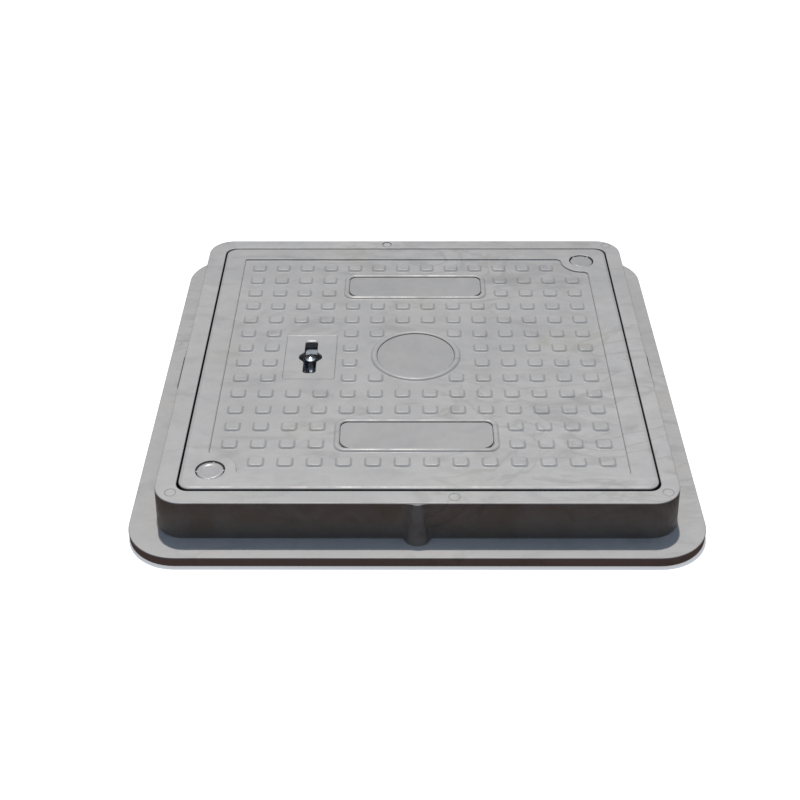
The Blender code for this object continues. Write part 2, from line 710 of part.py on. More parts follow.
def make_washer_and_nut():
    low, high = CRANK_TOP + GAP, BUSH_LOW - GAP
    bore = SHAFT_RADIUS + GAP
    profile = [(WASHER_RADIUS, high), (WASHER_RADIUS, low), (bore, low), (bore, high)]
    washer = turned("spindle_washer", profile, LOCK, 32)
    finish(washer, STEEL, SPINDLE_AXIS, smooth=True)
    nut = prism("spindle_nut", LOCK, NUT_LOW, CRANK_LOW - 2 * GAP, NUT_FLATS, 6)
    nut_bore = cylinder("nut_bore", LOCK, NUT_LOW - OVER, CRANK_LOW + OVER, THREAD_RADIUS + GAP, 24)
    boolean(nut, [nut_bore], "DIFFERENCE")
    finish(nut, STEEL, SPINDLE_AXIS)


def make_bolt():
    """Flat bolt with a yoke at its inner end. The crank pin runs in the yoke's cross slot."""
    pin = pin_place()
    front, back = LOCK[1] - BOLT_HALF_WIDTH, LOCK[1] + BOLT_HALF_WIDTH
    inner, outer = pin[0] - YOKE_HALF_LENGTH, pin[0] + YOKE_HALF_LENGTH
    yoke_back = LOCK[1] + YOKE_REACH
    outline = [
        (BOLT_TIP, back - BOLT_NOSE[1]),
        (BOLT_TIP, front + BOLT_NOSE[1]),
        (BOLT_TIP + BOLT_NOSE[0], front),
        (outer, front),
        (outer, yoke_back),
        (inner, yoke_back),
        (inner, back),
        (BOLT_TIP + BOLT_NOSE[0], back),
    ]
    bolt = slab("lock_bolt", outline, BOLT_LOW, BOLT_TOP)
    half_x = PIN_RADIUS + YOKE_CLEARANCE
    near = pin[1] - half_x
    far = LOCK[1] + CRANK_RADIUS + half_x
    outline = rounded_outline(half_x, (far - near) / 2, half_x * 0.98, 6)
    slot = slab("yoke_slot", outline, BOLT_LOW - OVER, BOLT_TOP + OVER, (pin[0], (near + far) / 2))
    boolean(bolt, [slot], "DIFFERENCE")
    finish(bolt, STEEL, BOLT_AXIS)


def make_guides():
    for name, x in zip(GUIDE_NAMES, GUIDE_X):
        low = (x - GUIDE_HALF_THICK, LOCK[1] - GUIDE_HALF_WIDTH, GUIDE_LOW)
        high = (x + GUIDE_HALF_THICK, LOCK[1] + GUIDE_HALF_WIDTH, RIB_LOW - GAP)
        guide = box(name, low, high)
        reach = GUIDE_HALF_THICK + OVER
        window_low = (x - reach, LOCK[1] - BOLT_HALF_WIDTH - GAP, BOLT_LOW - GAP)
        window_high = (x + reach, LOCK[1] + BOLT_HALF_WIDTH + GAP, BOLT_TOP + GAP)
        places = [place for place in guide_screw_places() if place[0] == x]
        cuts = [box(f"{name}_window", window_low, window_high)]
        cuts += screw_holes(f"{name}_hole", places, GUIDE_LOW - OVER, RIB_LOW + OVER)
        boolean(guide, cuts, "DIFFERENCE")
        finish(guide, NYLON, LID_AXIS)


def make_toes():
    """Z-bent steel clips: flange under the lid, web, and a toe that hooks under the ledge."""
    top = RIB_LOW - GAP
    outline = [
        (TOE_ROOT, top),
        (TOE_ROOT, top - TOE_THICK),
        (TOE_BEND - TOE_THICK, top - TOE_THICK),
        (TOE_BEND - TOE_THICK, TOE_LOW + TOE_ROUND),
        (TOE_BEND - TOE_THICK + TOE_ROUND, TOE_LOW),
        (TOE_TIP, TOE_LOW),
        (TOE_TIP, TOE_LOW + TOE_THICK),
        (TOE_BEND, TOE_LOW + TOE_THICK),
        (TOE_BEND, top - TOE_ROUND),
        (TOE_BEND - TOE_ROUND, top),
    ]
    upright = Matrix.Rotation(math.pi / 2, 4, "X")
    for name, y in zip(TOE_NAMES, TOE_Y):
        toe = slab(name, outline, -TOE_HALF_WIDTH, TOE_HALF_WIDTH)
        toe.data.transform(Matrix.Translation((0.0, y, 0.0)) @ upright)
        places = [place for place in toe_screw_places() if abs(place[1] - y) < TOE_HALF_WIDTH]
        holes = screw_holes(f"{name}_hole", places, top - TOE_THICK - OVER, top + OVER)
        boolean(toe, holes, "DIFFERENCE")
        finish(toe, STEEL, LID_AXIS)


def make_screws(name, places, seat, thickness):
    """Equal hexagon-head screws, driven upwards through a piece of that thickness."""
    face = seat - thickness - GAP
    for index, place in enumerate(places, 1):
        screw = prism(f"{name}_{index}", place, face - SCREW_HEAD_HEIGHT, face, SCREW_HEAD_FLATS, 6)
        tip = seat + SCREW_REACH - GAP
        shank = cylinder(f"shank_{name}_{index}", place, face - BITE, tip, SCREW_RADIUS, 16)
        boolean(screw, [shank], "UNION")
        finish(screw, STEEL, LID_AXIS)


def main():
    make_frame()
    make_gasket()
    make_lid()
    make_inserts()
    make_plugs()
    make_cup()
    make_bush()
    make_spindle()
    make_crank()
    make_washer_and_nut()
    make_bolt()
    make_guides()
    make_toes()
    make_screws("housing_screw", cup_screw_places(), LOCK_PAD_LOW, SHEET + GAP)
    make_screws("guide_screw", guide_screw_places(), RIB_LOW, RIB_LOW - GUIDE_LOW)
    make_screws("toe_screw", toe_screw_places(), RIB_LOW, TOE_THICK + GAP)


clear_scene()
COVER = new_collection("manhole_cover")
TOOLS = new_collection("cutters")
LID_AXIS = joint_axis("lid_axis", (LID_HALF, 0.0, HEIGHT))
SPINDLE_AXIS = joint_axis("spindle_axis", (*LOCK, HEIGHT), LID_AXIS)
BOLT_AXIS = joint_axis("bolt_axis", (BOLT_TIP, LOCK[1], BOLT_LOW), LID_AXIS)
main()
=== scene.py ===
"""Looks of the lockable composite manhole cover: fine surfaces, materials, light and camera.

Metres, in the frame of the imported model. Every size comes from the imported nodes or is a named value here.
"""

import json
import math

import bmesh
import bpy
from mathutils import Matrix, Vector


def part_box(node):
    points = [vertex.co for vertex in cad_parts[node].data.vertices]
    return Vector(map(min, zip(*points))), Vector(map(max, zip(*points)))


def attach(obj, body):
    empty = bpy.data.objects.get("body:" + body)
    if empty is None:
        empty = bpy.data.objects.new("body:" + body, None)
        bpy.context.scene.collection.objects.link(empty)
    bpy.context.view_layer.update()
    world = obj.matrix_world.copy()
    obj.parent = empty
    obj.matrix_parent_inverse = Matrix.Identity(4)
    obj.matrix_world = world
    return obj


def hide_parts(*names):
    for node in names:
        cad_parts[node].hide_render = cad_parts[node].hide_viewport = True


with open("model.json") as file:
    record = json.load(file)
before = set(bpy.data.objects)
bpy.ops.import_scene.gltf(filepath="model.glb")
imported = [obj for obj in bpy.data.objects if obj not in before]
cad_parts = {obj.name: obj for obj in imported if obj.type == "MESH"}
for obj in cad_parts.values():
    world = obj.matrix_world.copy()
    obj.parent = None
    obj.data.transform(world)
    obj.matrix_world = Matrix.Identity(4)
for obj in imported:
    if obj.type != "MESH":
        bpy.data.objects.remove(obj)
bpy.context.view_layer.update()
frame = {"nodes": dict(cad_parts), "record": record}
NODES = frame["nodes"]
BODY_OF = {node: body for body, members in frame["record"]["behaviour"]["bodies"].items() for node in members}
SLOT_OF = {part["node"]: part["material_slot"] for part in frame["record"]["subparts"]}

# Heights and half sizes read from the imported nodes
FRAME_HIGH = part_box("frame")[1]
LID_LOW, LID_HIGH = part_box("lid")
KEY_LOW, KEY_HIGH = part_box("keyhole_plate")
INSERT_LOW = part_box("nameplate_front")[0]
HOUSING_LOW, HOUSING_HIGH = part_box("lock_housing")
TOP = FRAME_HIGH[2]
PANEL = KEY_HIGH[2]
LOCK = ((KEY_LOW[0] + KEY_HIGH[0]) / 2, (KEY_LOW[1] + KEY_HIGH[1]) / 2)

MM = 0.001
CORNER_STEPS = 10

FLANGE_TOP = 15 * MM

# Places that the resin's shading refers to: the panel's edge, the gap round the lid with its painted shade,
# and the painted shade fading to the rear
PANEL_EDGE = 0.287
PANEL_EDGE_ROUND = 0.004
GAP_HALF = 0.3222
GAP_ROUND = 0.016
GAP_CENTRE = (0.0018, 0.0008)
REAR_FADE = 0.36


# ---------------------------------------------------------------- outlines


def rounded(half_x, half_y, corner, centre=(0.0, 0.0), steps=CORNER_STEPS):
    """Points of a rounded rectangle, from the right side round by the back."""
    points = []
    for turn, (sign_x, sign_y) in enumerate([(1, 1), (-1, 1), (-1, -1), (1, -1)]):
        for step in range(steps + 1):
            angle = math.pi / 2 * (turn + step / steps)
            x = centre[0] + sign_x * (half_x - corner) + corner * math.cos(angle)
            y = centre[1] + sign_y * (half_y - corner) + corner * math.sin(angle)
            points.append((x, y))
    return points


def corners(half_x, half_y, radii, centre):
    """Points of a rectangle with four radii: back right, back left, front left and front right."""
    points = []
    for turn, (sign_x, sign_y) in enumerate([(1, 1), (-1, 1), (-1, -1), (1, -1)]):
        corner = radii[turn]
        middle = (centre[0] + sign_x * (half_x - corner), centre[1] + sign_y * (half_y - corner))
        points += arc(middle, corner, math.pi / 2 * turn, math.pi / 2 * (turn + 1), CORNER_STEPS)
    return points


def square(half, corner):
    return rounded(half, half, corner)


def circle(radius, centre=(0.0, 0.0), steps=64):
    turns = [2 * math.pi * step / steps for step in range(steps)]
    return [(centre[0] + radius * math.cos(a), centre[1] + radius * math.sin(a)) for a in turns]


def wavy(radius_at, centre, steps=96):
    """Circle whose radius depends on the angle."""
    points = []
    for step in range(steps):
        angle = 2 * math.pi * step / steps
        radius = radius_at(angle)
        points.append((centre[0] + radius * math.cos(angle), centre[1] + radius * math.sin(angle)))
    return points


def bump_at(angle, middle, half_width, soft):
    """1 within the half width of the middle angle, falling to 0 over the soft angle."""
    gone = abs((angle - middle + math.pi) % (2 * math.pi) - math.pi) - half_width
    share = min(max(1.0 - gone / soft, 0.0), 1.0)
    return share * share * (3 - 2 * share)


def arc(centre, radius, start, end, steps):
    turns = [start + (end - start) * step / steps for step in range(steps + 1)]
    return [(centre[0] + radius * math.cos(a), centre[1] + radius * math.sin(a)) for a in turns]


# ---------------------------------------------------------------- surfaces


class Surface:
    """A closed surface put together from rings of points at given heights."""

    def __init__(self):
        self.mesh = bmesh.new()

    def ring(self, outline, height):
        return [self.mesh.verts.new((x, y, height)) for x, y in outline]

    def bridge(self, first, second):
        count = len(first)
        for i in range(count):
            j = (i + 1) % count
            self.mesh.faces.new((first[i], first[j], second[j], second[i]))

    def rise(self, steps):
        """Rings joined one to the next. Returns the first and the last ring."""
        rings = [self.ring(outline, height) for outline, height in steps]
        for first, second in zip(rings, rings[1:]):
            self.bridge(first, second)
        return rings[0], rings[-1]

    def cap(self, ring):
        self.mesh.faces.new(ring)

    def fill(self, rings):
        """Flat face between an outer ring and the rings of its holes."""
        edges = []
        for ring in rings:
            for i, corner in enumerate(ring):
                ends = (corner, ring[(i + 1) % len(ring)])
                edges.append(self.mesh.edges.get(ends) or self.mesh.edges.new(ends))
        bmesh.ops.triangle_fill(self.mesh, use_beauty=True, edges=edges, normal=(0.0, 0.0, 1.0))

    def finish(self, name, material, node_names, sharp=40.0):
        """Makes the object, puts it on its body and hides the CAD nodes that it stands for."""
        bmesh.ops.recalc_face_normals(self.mesh, faces=self.mesh.faces)
        data = bpy.data.meshes.new(name)
        self.mesh.to_mesh(data)
        self.mesh.free()
        made = bpy.data.objects.new(name, data)
        bpy.context.scene.collection.objects.link(made)
        data.materials.append(material)
        data.shade_smooth()
        data.set_sharp_from_angle(angle=math.radians(sharp))
        weighted = made.modifiers.new("even shading", "WEIGHTED_NORMAL")
        weighted.keep_sharp = True
        weighted.weight = 80
        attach(made, BODY_OF[node_names[0]])
        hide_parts(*node_names)
        return made


# ---------------------------------------------------------------- shader helpers


class Nodes:
    """Short ways to add nodes to one material."""

    def __init__(self, name):
        self.material = bpy.data.materials.new(name)
        self.material.use_nodes = True
        self.tree = self.material.node_tree
        self.shader = self.tree.nodes["Principled BSDF"]
        where = self.add("ShaderNodeTexCoord")
        self.place = where.outputs["Object"]
        self.facing = where.outputs["Normal"]

    def add(self, kind, **settings):
        node = self.tree.nodes.new(kind)
        for key, value in settings.items():
            setattr(node, key, value)
        return node

    def link(self, source, target):
        self.tree.links.new(source, target)

    def scaled(self, scale, turn=0.0):
        mapping = self.add("ShaderNodeMapping")
        mapping.inputs["Scale"].default_value = scale
        mapping.inputs["Rotation"].default_value = (0.0, 0.0, turn)
        self.link(self.place, mapping.inputs["Vector"])
        return mapping.outputs["Vector"]

    def noise(self, scale, detail=4.0, roughness=0.55, distortion=0.0, where=None):
        node = self.add("ShaderNodeTexNoise")
        node.inputs["Scale"].default_value = scale
        node.inputs["Detail"].default_value = detail
        node.inputs["Roughness"].default_value = roughness
        node.inputs["Distortion"].default_value = distortion
        self.link(where or self.place, node.inputs["Vector"])
        return node.outputs["Fac"]

    def ramp(self, source, low, high, low_value=0.0, high_value=1.0):
        node = self.add("ShaderNodeMapRange", interpolation_type="SMOOTHSTEP")
        node.inputs["From Min"].default_value = low
        node.inputs["From Max"].default_value = high
        node.inputs["To Min"].default_value = low_value
        node.inputs["To Max"].default_value = high_value
        self.link(source, node.inputs["Value"])
        return node.outputs["Result"]

    def maths(self, operation, first, second):
        node = self.add("ShaderNodeMath", operation=operation)
        for socket, value in zip(node.inputs, (first, second)):
            if isinstance(value, (int, float)):
                socket.default_value = value
            else:
                self.link(value, socket)
        return node.outputs["Value"]

    def mix(self, share, first, second):
        node = self.add("ShaderNodeMix", data_type="RGBA")
        colour_inputs = [socket for socket in node.inputs if socket.type == "RGBA"]
        pairs = ((node.inputs[0], share), (colour_inputs[0], first), (colour_inputs[1], second))
        for socket, value in pairs:
            if isinstance(value, (int, float)):
                socket.default_value = value
            elif isinstance(value, tuple):
                socket.default_value = (*value, 1.0)
            else:
                self.link(value, socket)
        return [socket for socket in node.outputs if socket.type == "RGBA"][0]

    def axes(self):
        """X, Y and Z of the place on the object."""
        split = self.add("ShaderNodeSeparateXYZ")
        self.link(self.place, split.inputs["Vector"])
        return [split.outputs[axis] for axis in "XYZ"]

    def square_distance(self, half, corner, centre=(0.0, 0.0)):
        """Distance outside a rounded square of that half size, negative inside."""
        x, y, _ = self.axes()
        x, y = self.maths("SUBTRACT", x, centre[0]), self.maths("SUBTRACT", y, centre[1])
        core = half - corner
        across = self.maths("MAXIMUM", self.maths("SUBTRACT", self.maths("ABSOLUTE", x, 0.0), core), 0.0)
        along = self.maths("MAXIMUM", self.maths("SUBTRACT", self.maths("ABSOLUTE", y, 0.0), core), 0.0)
        total = self.maths("ADD", self.maths("POWER", across, 2.0), self.maths("POWER", along, 2.0))
        return self.maths("SUBTRACT", self.maths("SQRT", total, 0.0), corner)

    def wisps(self, scale, width, distortion, turn, patches):
        """Thin wandering streaks, present in patches."""
        lines = self.noise(1.0, 3.0, 0.5, distortion, self.scaled((scale, scale * 2.2, scale * 1.6), turn))
        offset = self.maths("ABSOLUTE", self.maths("SUBTRACT", lines, 0.5), 0.0)
        where = self.ramp(self.noise(patches, 2.0), 0.47, 0.62)
        return self.maths("MULTIPLY", self.ramp(offset, width, 0.0), where)

    def bump(self, height, strength, distance, normal=None):
        node = self.add("ShaderNodeBump")
        node.inputs["Strength"].default_value = strength
        node.inputs["Distance"].default_value = distance
        self.link(height, node.inputs["Height"])
        if normal is not None:
            self.link(normal, node.inputs["Normal"])
        return node.outputs["Normal"]


# ---------------------------------------------------------------- materials


def resin(name, colour, roughness=0.5, stain=1.0, specks=1.0, panel=1.0):
    """Moulded resin composite: mottled, with flow marks, pale edges that are partly wear and partly painted
    highlight, dirt and painted shade in corners, and fine grain.

    panel darkens the part inside the raised border, and painted shade makes the walls browner and darker than
    the top.
    """
    def tint(red, green=None, blue=None):
        """The resin's colour times one factor, or times one for each channel."""
        factors = (red, green or red, blue or red)
        return tuple(min(1.0, channel * factor) for channel, factor in zip(colour, factors))

    n = Nodes(name)
    pale, dark = tint(1.20), tint(0.76)
    _, y, z = n.axes()

    # Mottling, flow marks and specks
    cloud = n.ramp(n.noise(5.0, 5.0, 0.6, 0.4), 0.30, 0.70)
    base = n.mix(cloud, tint(0.95), tint(1.06))
    if panel < 1.0:
        inside = n.ramp(n.square_distance(PANEL_EDGE, PANEL_EDGE_ROUND), 0.004, -0.055)
        low = n.ramp(z, PANEL + 0.0022, PANEL + 0.0004, 0.55, 1.0)
        base = n.mix(n.maths("MULTIPLY", inside, low), base, tint(panel))
    blotch = n.ramp(n.noise(30.0, 6.0, 0.65, 0.9), 0.46, 0.74, 0.0, 0.34 * stain)
    base = n.mix(blotch, base, dark)
    light_flow = n.wisps(5.0, 0.035, 1.8, 0.35, 4.0)
    base = n.mix(n.maths("MULTIPLY", light_flow, 0.38 * stain), base, pale)
    dark_flow = n.wisps(4.5, 0.040, 2.2, -0.5, 4.5)
    base = n.mix(n.maths("MULTIPLY", dark_flow, 0.62 * stain), base, tint(0.76, 0.7448, 0.7144))
    smear = n.noise(1.0, 6.0, 0.62, 1.6, n.scaled((7.0, 17.0, 12.0), -0.45))
    smudge = n.ramp(smear, 0.50, 0.70, 0.0, 0.75 * stain)
    base = n.mix(smudge, base, dark)
    brush = n.noise(1.0, 5.0, 0.6, 1.2, n.scaled((9.0, 60.0, 60.0), 0.2))
    base = n.mix(n.ramp(brush, 0.52, 0.75, 0.0, 0.22 * stain), base, pale)
    warm = n.ramp(n.noise(9.0, 3.0), 0.52, 0.72, 0.0, 0.30 * stain)
    base = n.mix(warm, base, tint(1.01, 0.99, 0.90))
    speck = n.ramp(n.noise(420.0, 2.0), 0.70, 0.78, 0.0, 0.35 * specks)
    base = n.mix(speck, base, tint(0.45))
    grain = n.noise(1500.0, 2.0, 0.5)
    base = n.mix(n.ramp(grain, 0.35, 0.65, 0.0, 0.12), base, pale)

    # Walls: painted shade makes them browner and darker than the top, with dirt streaks, darker still towards
    # their foot, and a paler, warmer flange edge below as painted light from the floor
    facing = n.add("ShaderNodeSeparateXYZ")
    n.link(n.facing, facing.inputs["Vector"])
    upright = n.ramp(n.maths("ABSOLUTE", facing.outputs["Z"], 0.0), 0.55, 0.15)
    skin = n.ramp(n.noise(16.0, 5.0, 0.65, 1.0), 0.35, 0.70, 0.62, 1.0)
    wall = n.maths("MULTIPLY", upright, skin)
    # Painted shade on upright faces, chosen by how they face: darker, and browner as painted warm light
    # reflected from the ground
    base = n.mix(wall, base, tint(0.66, 0.54, 0.43))
    # Painted light: the flange's front edge lighter and warmer, as if lit from the floor below
    flange_edge_bounce_light = n.maths("MULTIPLY", wall, n.ramp(z, FLANGE_TOP, FLANGE_TOP - 0.0008))
    base = n.mix(flange_edge_bounce_light, base, tint(1.02, 0.80, 0.70))
    streak = n.maths("MULTIPLY", wall, n.maths("ADD", dark_flow, smudge))
    base = n.mix(n.maths("MULTIPLY", streak, 0.34), base, tint(0.20))
    foot = n.maths("MULTIPLY", n.ramp(z, 0.060, 0.018), n.ramp(z, FLANGE_TOP - 0.0005, FLANGE_TOP + 0.0015))
    base = n.mix(n.maths("MULTIPLY", n.maths("MULTIPLY", upright, foot), 0.60), base, tint(0.22))
    # Painted shade: the colour a little darker towards the back
    rear = n.ramp(y, -REAR_FADE, REAR_FADE, 0.0, 0.09)
    base = n.mix(rear, base, tint(0.3))

    # Pale edges, partly wear and partly painted highlight; dirt and painted shade in hollows; painted shade
    # in the gap round the lid
    edge = n.add("ShaderNodeNewGeometry").outputs["Pointiness"]
    # Pale edges near the top: partly wear, partly painted highlight; the same mask also lowers the roughness
    # there
    wear_and_highlight = n.maths("MULTIPLY", n.ramp(edge, 0.505, 0.56), n.ramp(n.noise(90.0, 3.0), 0.25, 0.60, 0.35, 1.0))
    wear_and_highlight = n.maths("MULTIPLY", wear_and_highlight, n.ramp(z, TOP - 0.004, TOP - 0.001))
    base = n.mix(n.maths("MULTIPLY", wear_and_highlight, 0.45), base, tint(1.5))
    # Darker in hollows, found by pointiness: partly dirt, partly painted shade
    dirt_and_hollow_shade = n.ramp(edge, 0.495, 0.44, 0.0, 0.50)
    base = n.mix(dirt_and_hollow_shade, base, tint(0.42, 0.40, 0.38))
    # Painted shade: near black in the gap round the lid, weaker towards the back
    gap = n.maths("ABSOLUTE", n.square_distance(GAP_HALF, GAP_ROUND, GAP_CENTRE), 0.0)
    painted_gap_shade = n.maths("MULTIPLY", n.ramp(gap, 0.0040, 0.0028), n.ramp(z, TOP - 0.0008, TOP - 0.0030))
    painted_gap_shade = n.maths("MULTIPLY", painted_gap_shade, n.ramp(y, 0.318, 0.300, 0.25, 0.88))
    base = n.mix(painted_gap_shade, base, (0.045, 0.042, 0.036))
    n.link(base, n.shader.inputs["Base Color"])

    rough = n.ramp(n.noise(24.0, 6.0, 0.6, 0.5), 0.3, 0.7, roughness - 0.08, roughness + 0.10)
    rough = n.maths("ADD", rough, n.ramp(grain, 0.3, 0.7, -0.03, 0.05))
    n.link(n.maths("SUBTRACT", rough, n.maths("MULTIPLY", wear_and_highlight, 0.16)), n.shader.inputs["Roughness"])
    n.shader.inputs["Specular IOR Level"].default_value = 0.5
    waves = n.bump(n.noise(14.0, 3.0), 0.25, 0.0016)
    fine = n.bump(n.noise(260.0, 4.0, 0.6), 0.20, 0.0004, waves)
    n.link(n.bump(grain, 0.12, 0.0002, fine), n.shader.inputs["Normal"])
    return n.material


def steel(name, colour, roughness, brushed=0.0, tarnish=0.25):
    """Steel with fine scratches, a turned or brushed lay and a little tarnish."""
    n = Nodes(name)
    n.shader.inputs["Metallic"].default_value = 1.0
    dull = tuple(c * 0.55 for c in colour)
    base = n.mix(n.ramp(n.noise(60.0, 5.0, 0.6, 0.6), 0.40, 0.75, 0.0, tarnish), colour, dull)
    base = n.mix(n.ramp(n.noise(700.0, 3.0), 0.62, 0.75, 0.0, tarnish), base, (0.20, 0.15, 0.11))
    n.link(base, n.shader.inputs["Base Color"])
    lay = n.noise(1.0, 4.0, 0.7, 0.0, n.scaled((60.0, 2400.0, 2400.0)))
    spread = n.ramp(lay, 0.3, 0.7, roughness - 0.06, roughness + 0.08)
    n.link(n.maths("ADD", spread, n.ramp(n.noise(90.0), 0.4, 0.7, 0.0, 0.08)), n.shader.inputs["Roughness"])
    n.link(n.bump(lay, 0.10 + brushed, 0.0001), n.shader.inputs["Normal"])
    return n.material


def rubber(name):
    """Matt black rubber with dust on it."""
    n = Nodes(name)
    base = n.mix(n.ramp(n.noise(70.0, 4.0), 0.35, 0.7), (0.012, 0.012, 0.013), (0.035, 0.034, 0.033))
    dust = n.ramp(n.noise(300.0, 4.0, 0.6), 0.55, 0.75, 0.0, 0.35)
    n.link(n.mix(dust, base, (0.16, 0.15, 0.13)), n.shader.inputs["Base Color"])
    n.link(n.ramp(n.noise(120.0), 0.3, 0.7, 0.62, 0.85), n.shader.inputs["Roughness"])
    n.link(n.bump(n.noise(900.0, 3.0), 0.2, 0.0002), n.shader.inputs["Normal"])
    return n.material


def nylon(name):
    """Black nylon with long scuffs."""
    n = Nodes(name)
    base = n.mix(n.ramp(n.noise(50.0, 4.0), 0.35, 0.7), (0.018, 0.018, 0.020), (0.040, 0.040, 0.042))
    scuff = n.ramp(n.noise(1.0, 4.0, 0.6, 0.6, n.scaled((60.0, 900.0, 900.0))), 0.60, 0.72, 0.0, 0.4)
    n.link(n.mix(scuff, base, (0.14, 0.14, 0.14)), n.shader.inputs["Base Color"])
    n.link(n.ramp(n.noise(90.0), 0.3, 0.7, 0.38, 0.58), n.shader.inputs["Roughness"])
    n.link(n.bump(n.noise(800.0, 3.0), 0.15, 0.0002), n.shader.inputs["Normal"])
    return n.material


def floor_material():
    n = Nodes("floor")
    base = n.mix(n.ramp(n.noise(3.0, 4.0), 0.3, 0.7), (0.93, 0.93, 0.93), (0.96, 0.96, 0.96))
    n.link(base, n.shader.inputs["Base Color"])
    n.link(base, n.shader.inputs["Emission Color"])
    n.shader.inputs["Emission Strength"].default_value = 0.35
    n.shader.inputs["Roughness"].default_value = 0.9
    return n.material


MATERIALS = {
    "frame_resin": resin("frame_resin", (0.420, 0.421, 0.424), 0.46, 1.0),
    "lid_resin": resin("lid_resin", (0.428, 0.429, 0.432), 0.42, 1.0, 1.0, 0.88),
    "insert_resin": resin("insert_resin", (0.352, 0.353, 0.356), 0.45, 0.16, 0.3),
    "plug_resin": resin("plug_resin", (0.41, 0.411, 0.415), 0.32, 0.7),
    "rubber": rubber("rubber"),
    "steel": steel("steel", (0.58, 0.58, 0.57), 0.32, 0.1, 0.3),
    "polished_steel": steel("polished_steel", (0.80, 0.80, 0.79), 0.13, 0.0, 0.08),
    # Painted shade and painted sky reflection: the cup's steel darker and bluer than the other steel
    "shaded_cup_steel": steel("shaded_cup_steel", (0.30, 0.34, 0.40), 0.38, 0.05, 0.25),
    "bronze": steel("bronze", (0.34, 0.27, 0.17), 0.36, 0.05, 0.25),
    "nylon": nylon("nylon"),
}


# ---------------------------------------------------------------- frame

FLANGE_HALF = FRAME_HIGH[0]
FLANGE_CORNER = 70 * MM
RIM_HALF = 350 * MM
RIM_CORNER = 39 * MM
WALL_FOOT_HALF = 352.3 * MM
WALL_RINGS = 12
POCKET_HALF = 323.6 * MM
POCKET_CORNER = 17 * MM
OPENING_HALF = 300 * MM
OPENING_CORNER = 20 * MM
RELIEF_HALF = 322 * MM
LEDGE_LOW = 21 * MM
LEDGE_TOP = 35 * MM
GUSSET_FOOT = (17.2 * MM, 15.6 * MM)
GUSSET_HEAD = (6.6 * MM, 1.5 * MM)
GUSSET_ROUND = 0.80
GUSSET_SPREAD = 1.22
GUSSET_STEPS = 36
POCKET_SHIFT = (1.8 * MM, -0.25 * MM)
PIN_MARKS = ((0.3287, 0.3335), (0.3322, -0.3272), (-0.3269, -0.3276), (-0.0476, 0.3375), (0.0493, -0.3366))
DEEP_MARK = PIN_MARKS[3]
CHANNELS = 6
CHANNEL_PITCH = 2 * RELIEF_HALF / CHANNELS
CHANNEL_SIZE = (92 * MM, 13 * MM, 62 * MM)


def frame_outline(half, corner, gusset=None, centre=(0.0, 0.0)):
    """Rounded square whose sides have closely set points at their middle, pushed out over a gusset.

    gusset is its half width and how far it stands out.
    """
    points = []
    straight = half - corner
    width, depth = gusset or (GUSSET_FOOT[0], 0.0)
    for side in range(4):
        turn = side * math.pi / 2
        local = []
        for index in range(GUSSET_STEPS + 1):
            share = GUSSET_SPREAD * (2 * index / GUSSET_STEPS - 1)
            local.append((half + depth * gusset_bulge(share), width * share))
        local += arc((straight, straight), corner, 0.0, math.pi / 2, CORNER_STEPS + 4)
        for x, y in local:
            x, y = x * math.cos(turn) - y * math.sin(turn), x * math.sin(turn) + y * math.cos(turn)
            points.append((centre[0] + x, centre[1] + y))
    return points


def gusset_bulge(share):
    """Section of a gusset at a share of its half width: 1 in the middle, running out softly at its sides."""
    gone = abs(share)
    if gone < GUSSET_ROUND:
        return math.sqrt(1.0 - gone * gone)
    run = (gone - GUSSET_ROUND) / (GUSSET_SPREAD - GUSSET_ROUND)
    return math.sqrt(1.0 - GUSSET_ROUND ** 2) * max(0.0, 1.0 - run) ** 2.4


def wall_steps():
    """Rings up the outer wall, with the gussets fading towards the rim."""
    low = FLANGE_TOP + 2.4 * MM
    high = TOP - 2.2 * MM
    steps = []
    for index in range(WALL_RINGS + 1):
        share = index / WALL_RINGS
        height = low + (high - low) * share
        half = WALL_FOOT_HALF + (RIM_HALF - WALL_FOOT_HALF) * share
        gusset = [foot * (1 - share) + top * share for foot, top in zip(GUSSET_FOOT, GUSSET_HEAD)]
        steps.append((frame_outline(half, RIM_CORNER + half - RIM_HALF, gusset), height))
    return steps


def pin_mark(surface, place):
    """Round mark left by an ejector pin: a shallow groove round a slightly sunk disc."""
    profile = ((8.6, 0.0), (8.1, 0.15), (7.6, 0.80), (7.0, 0.85), (6.5, 0.30), (6.0, 0.22))
    depth = 2.6 * MM if place == DEEP_MARK else 0.9 * MM
    outer, inner = surface.rise([(circle(r * MM, place, 40), TOP - drop * depth) for r, drop in profile])
    surface.cap(inner)
    return outer


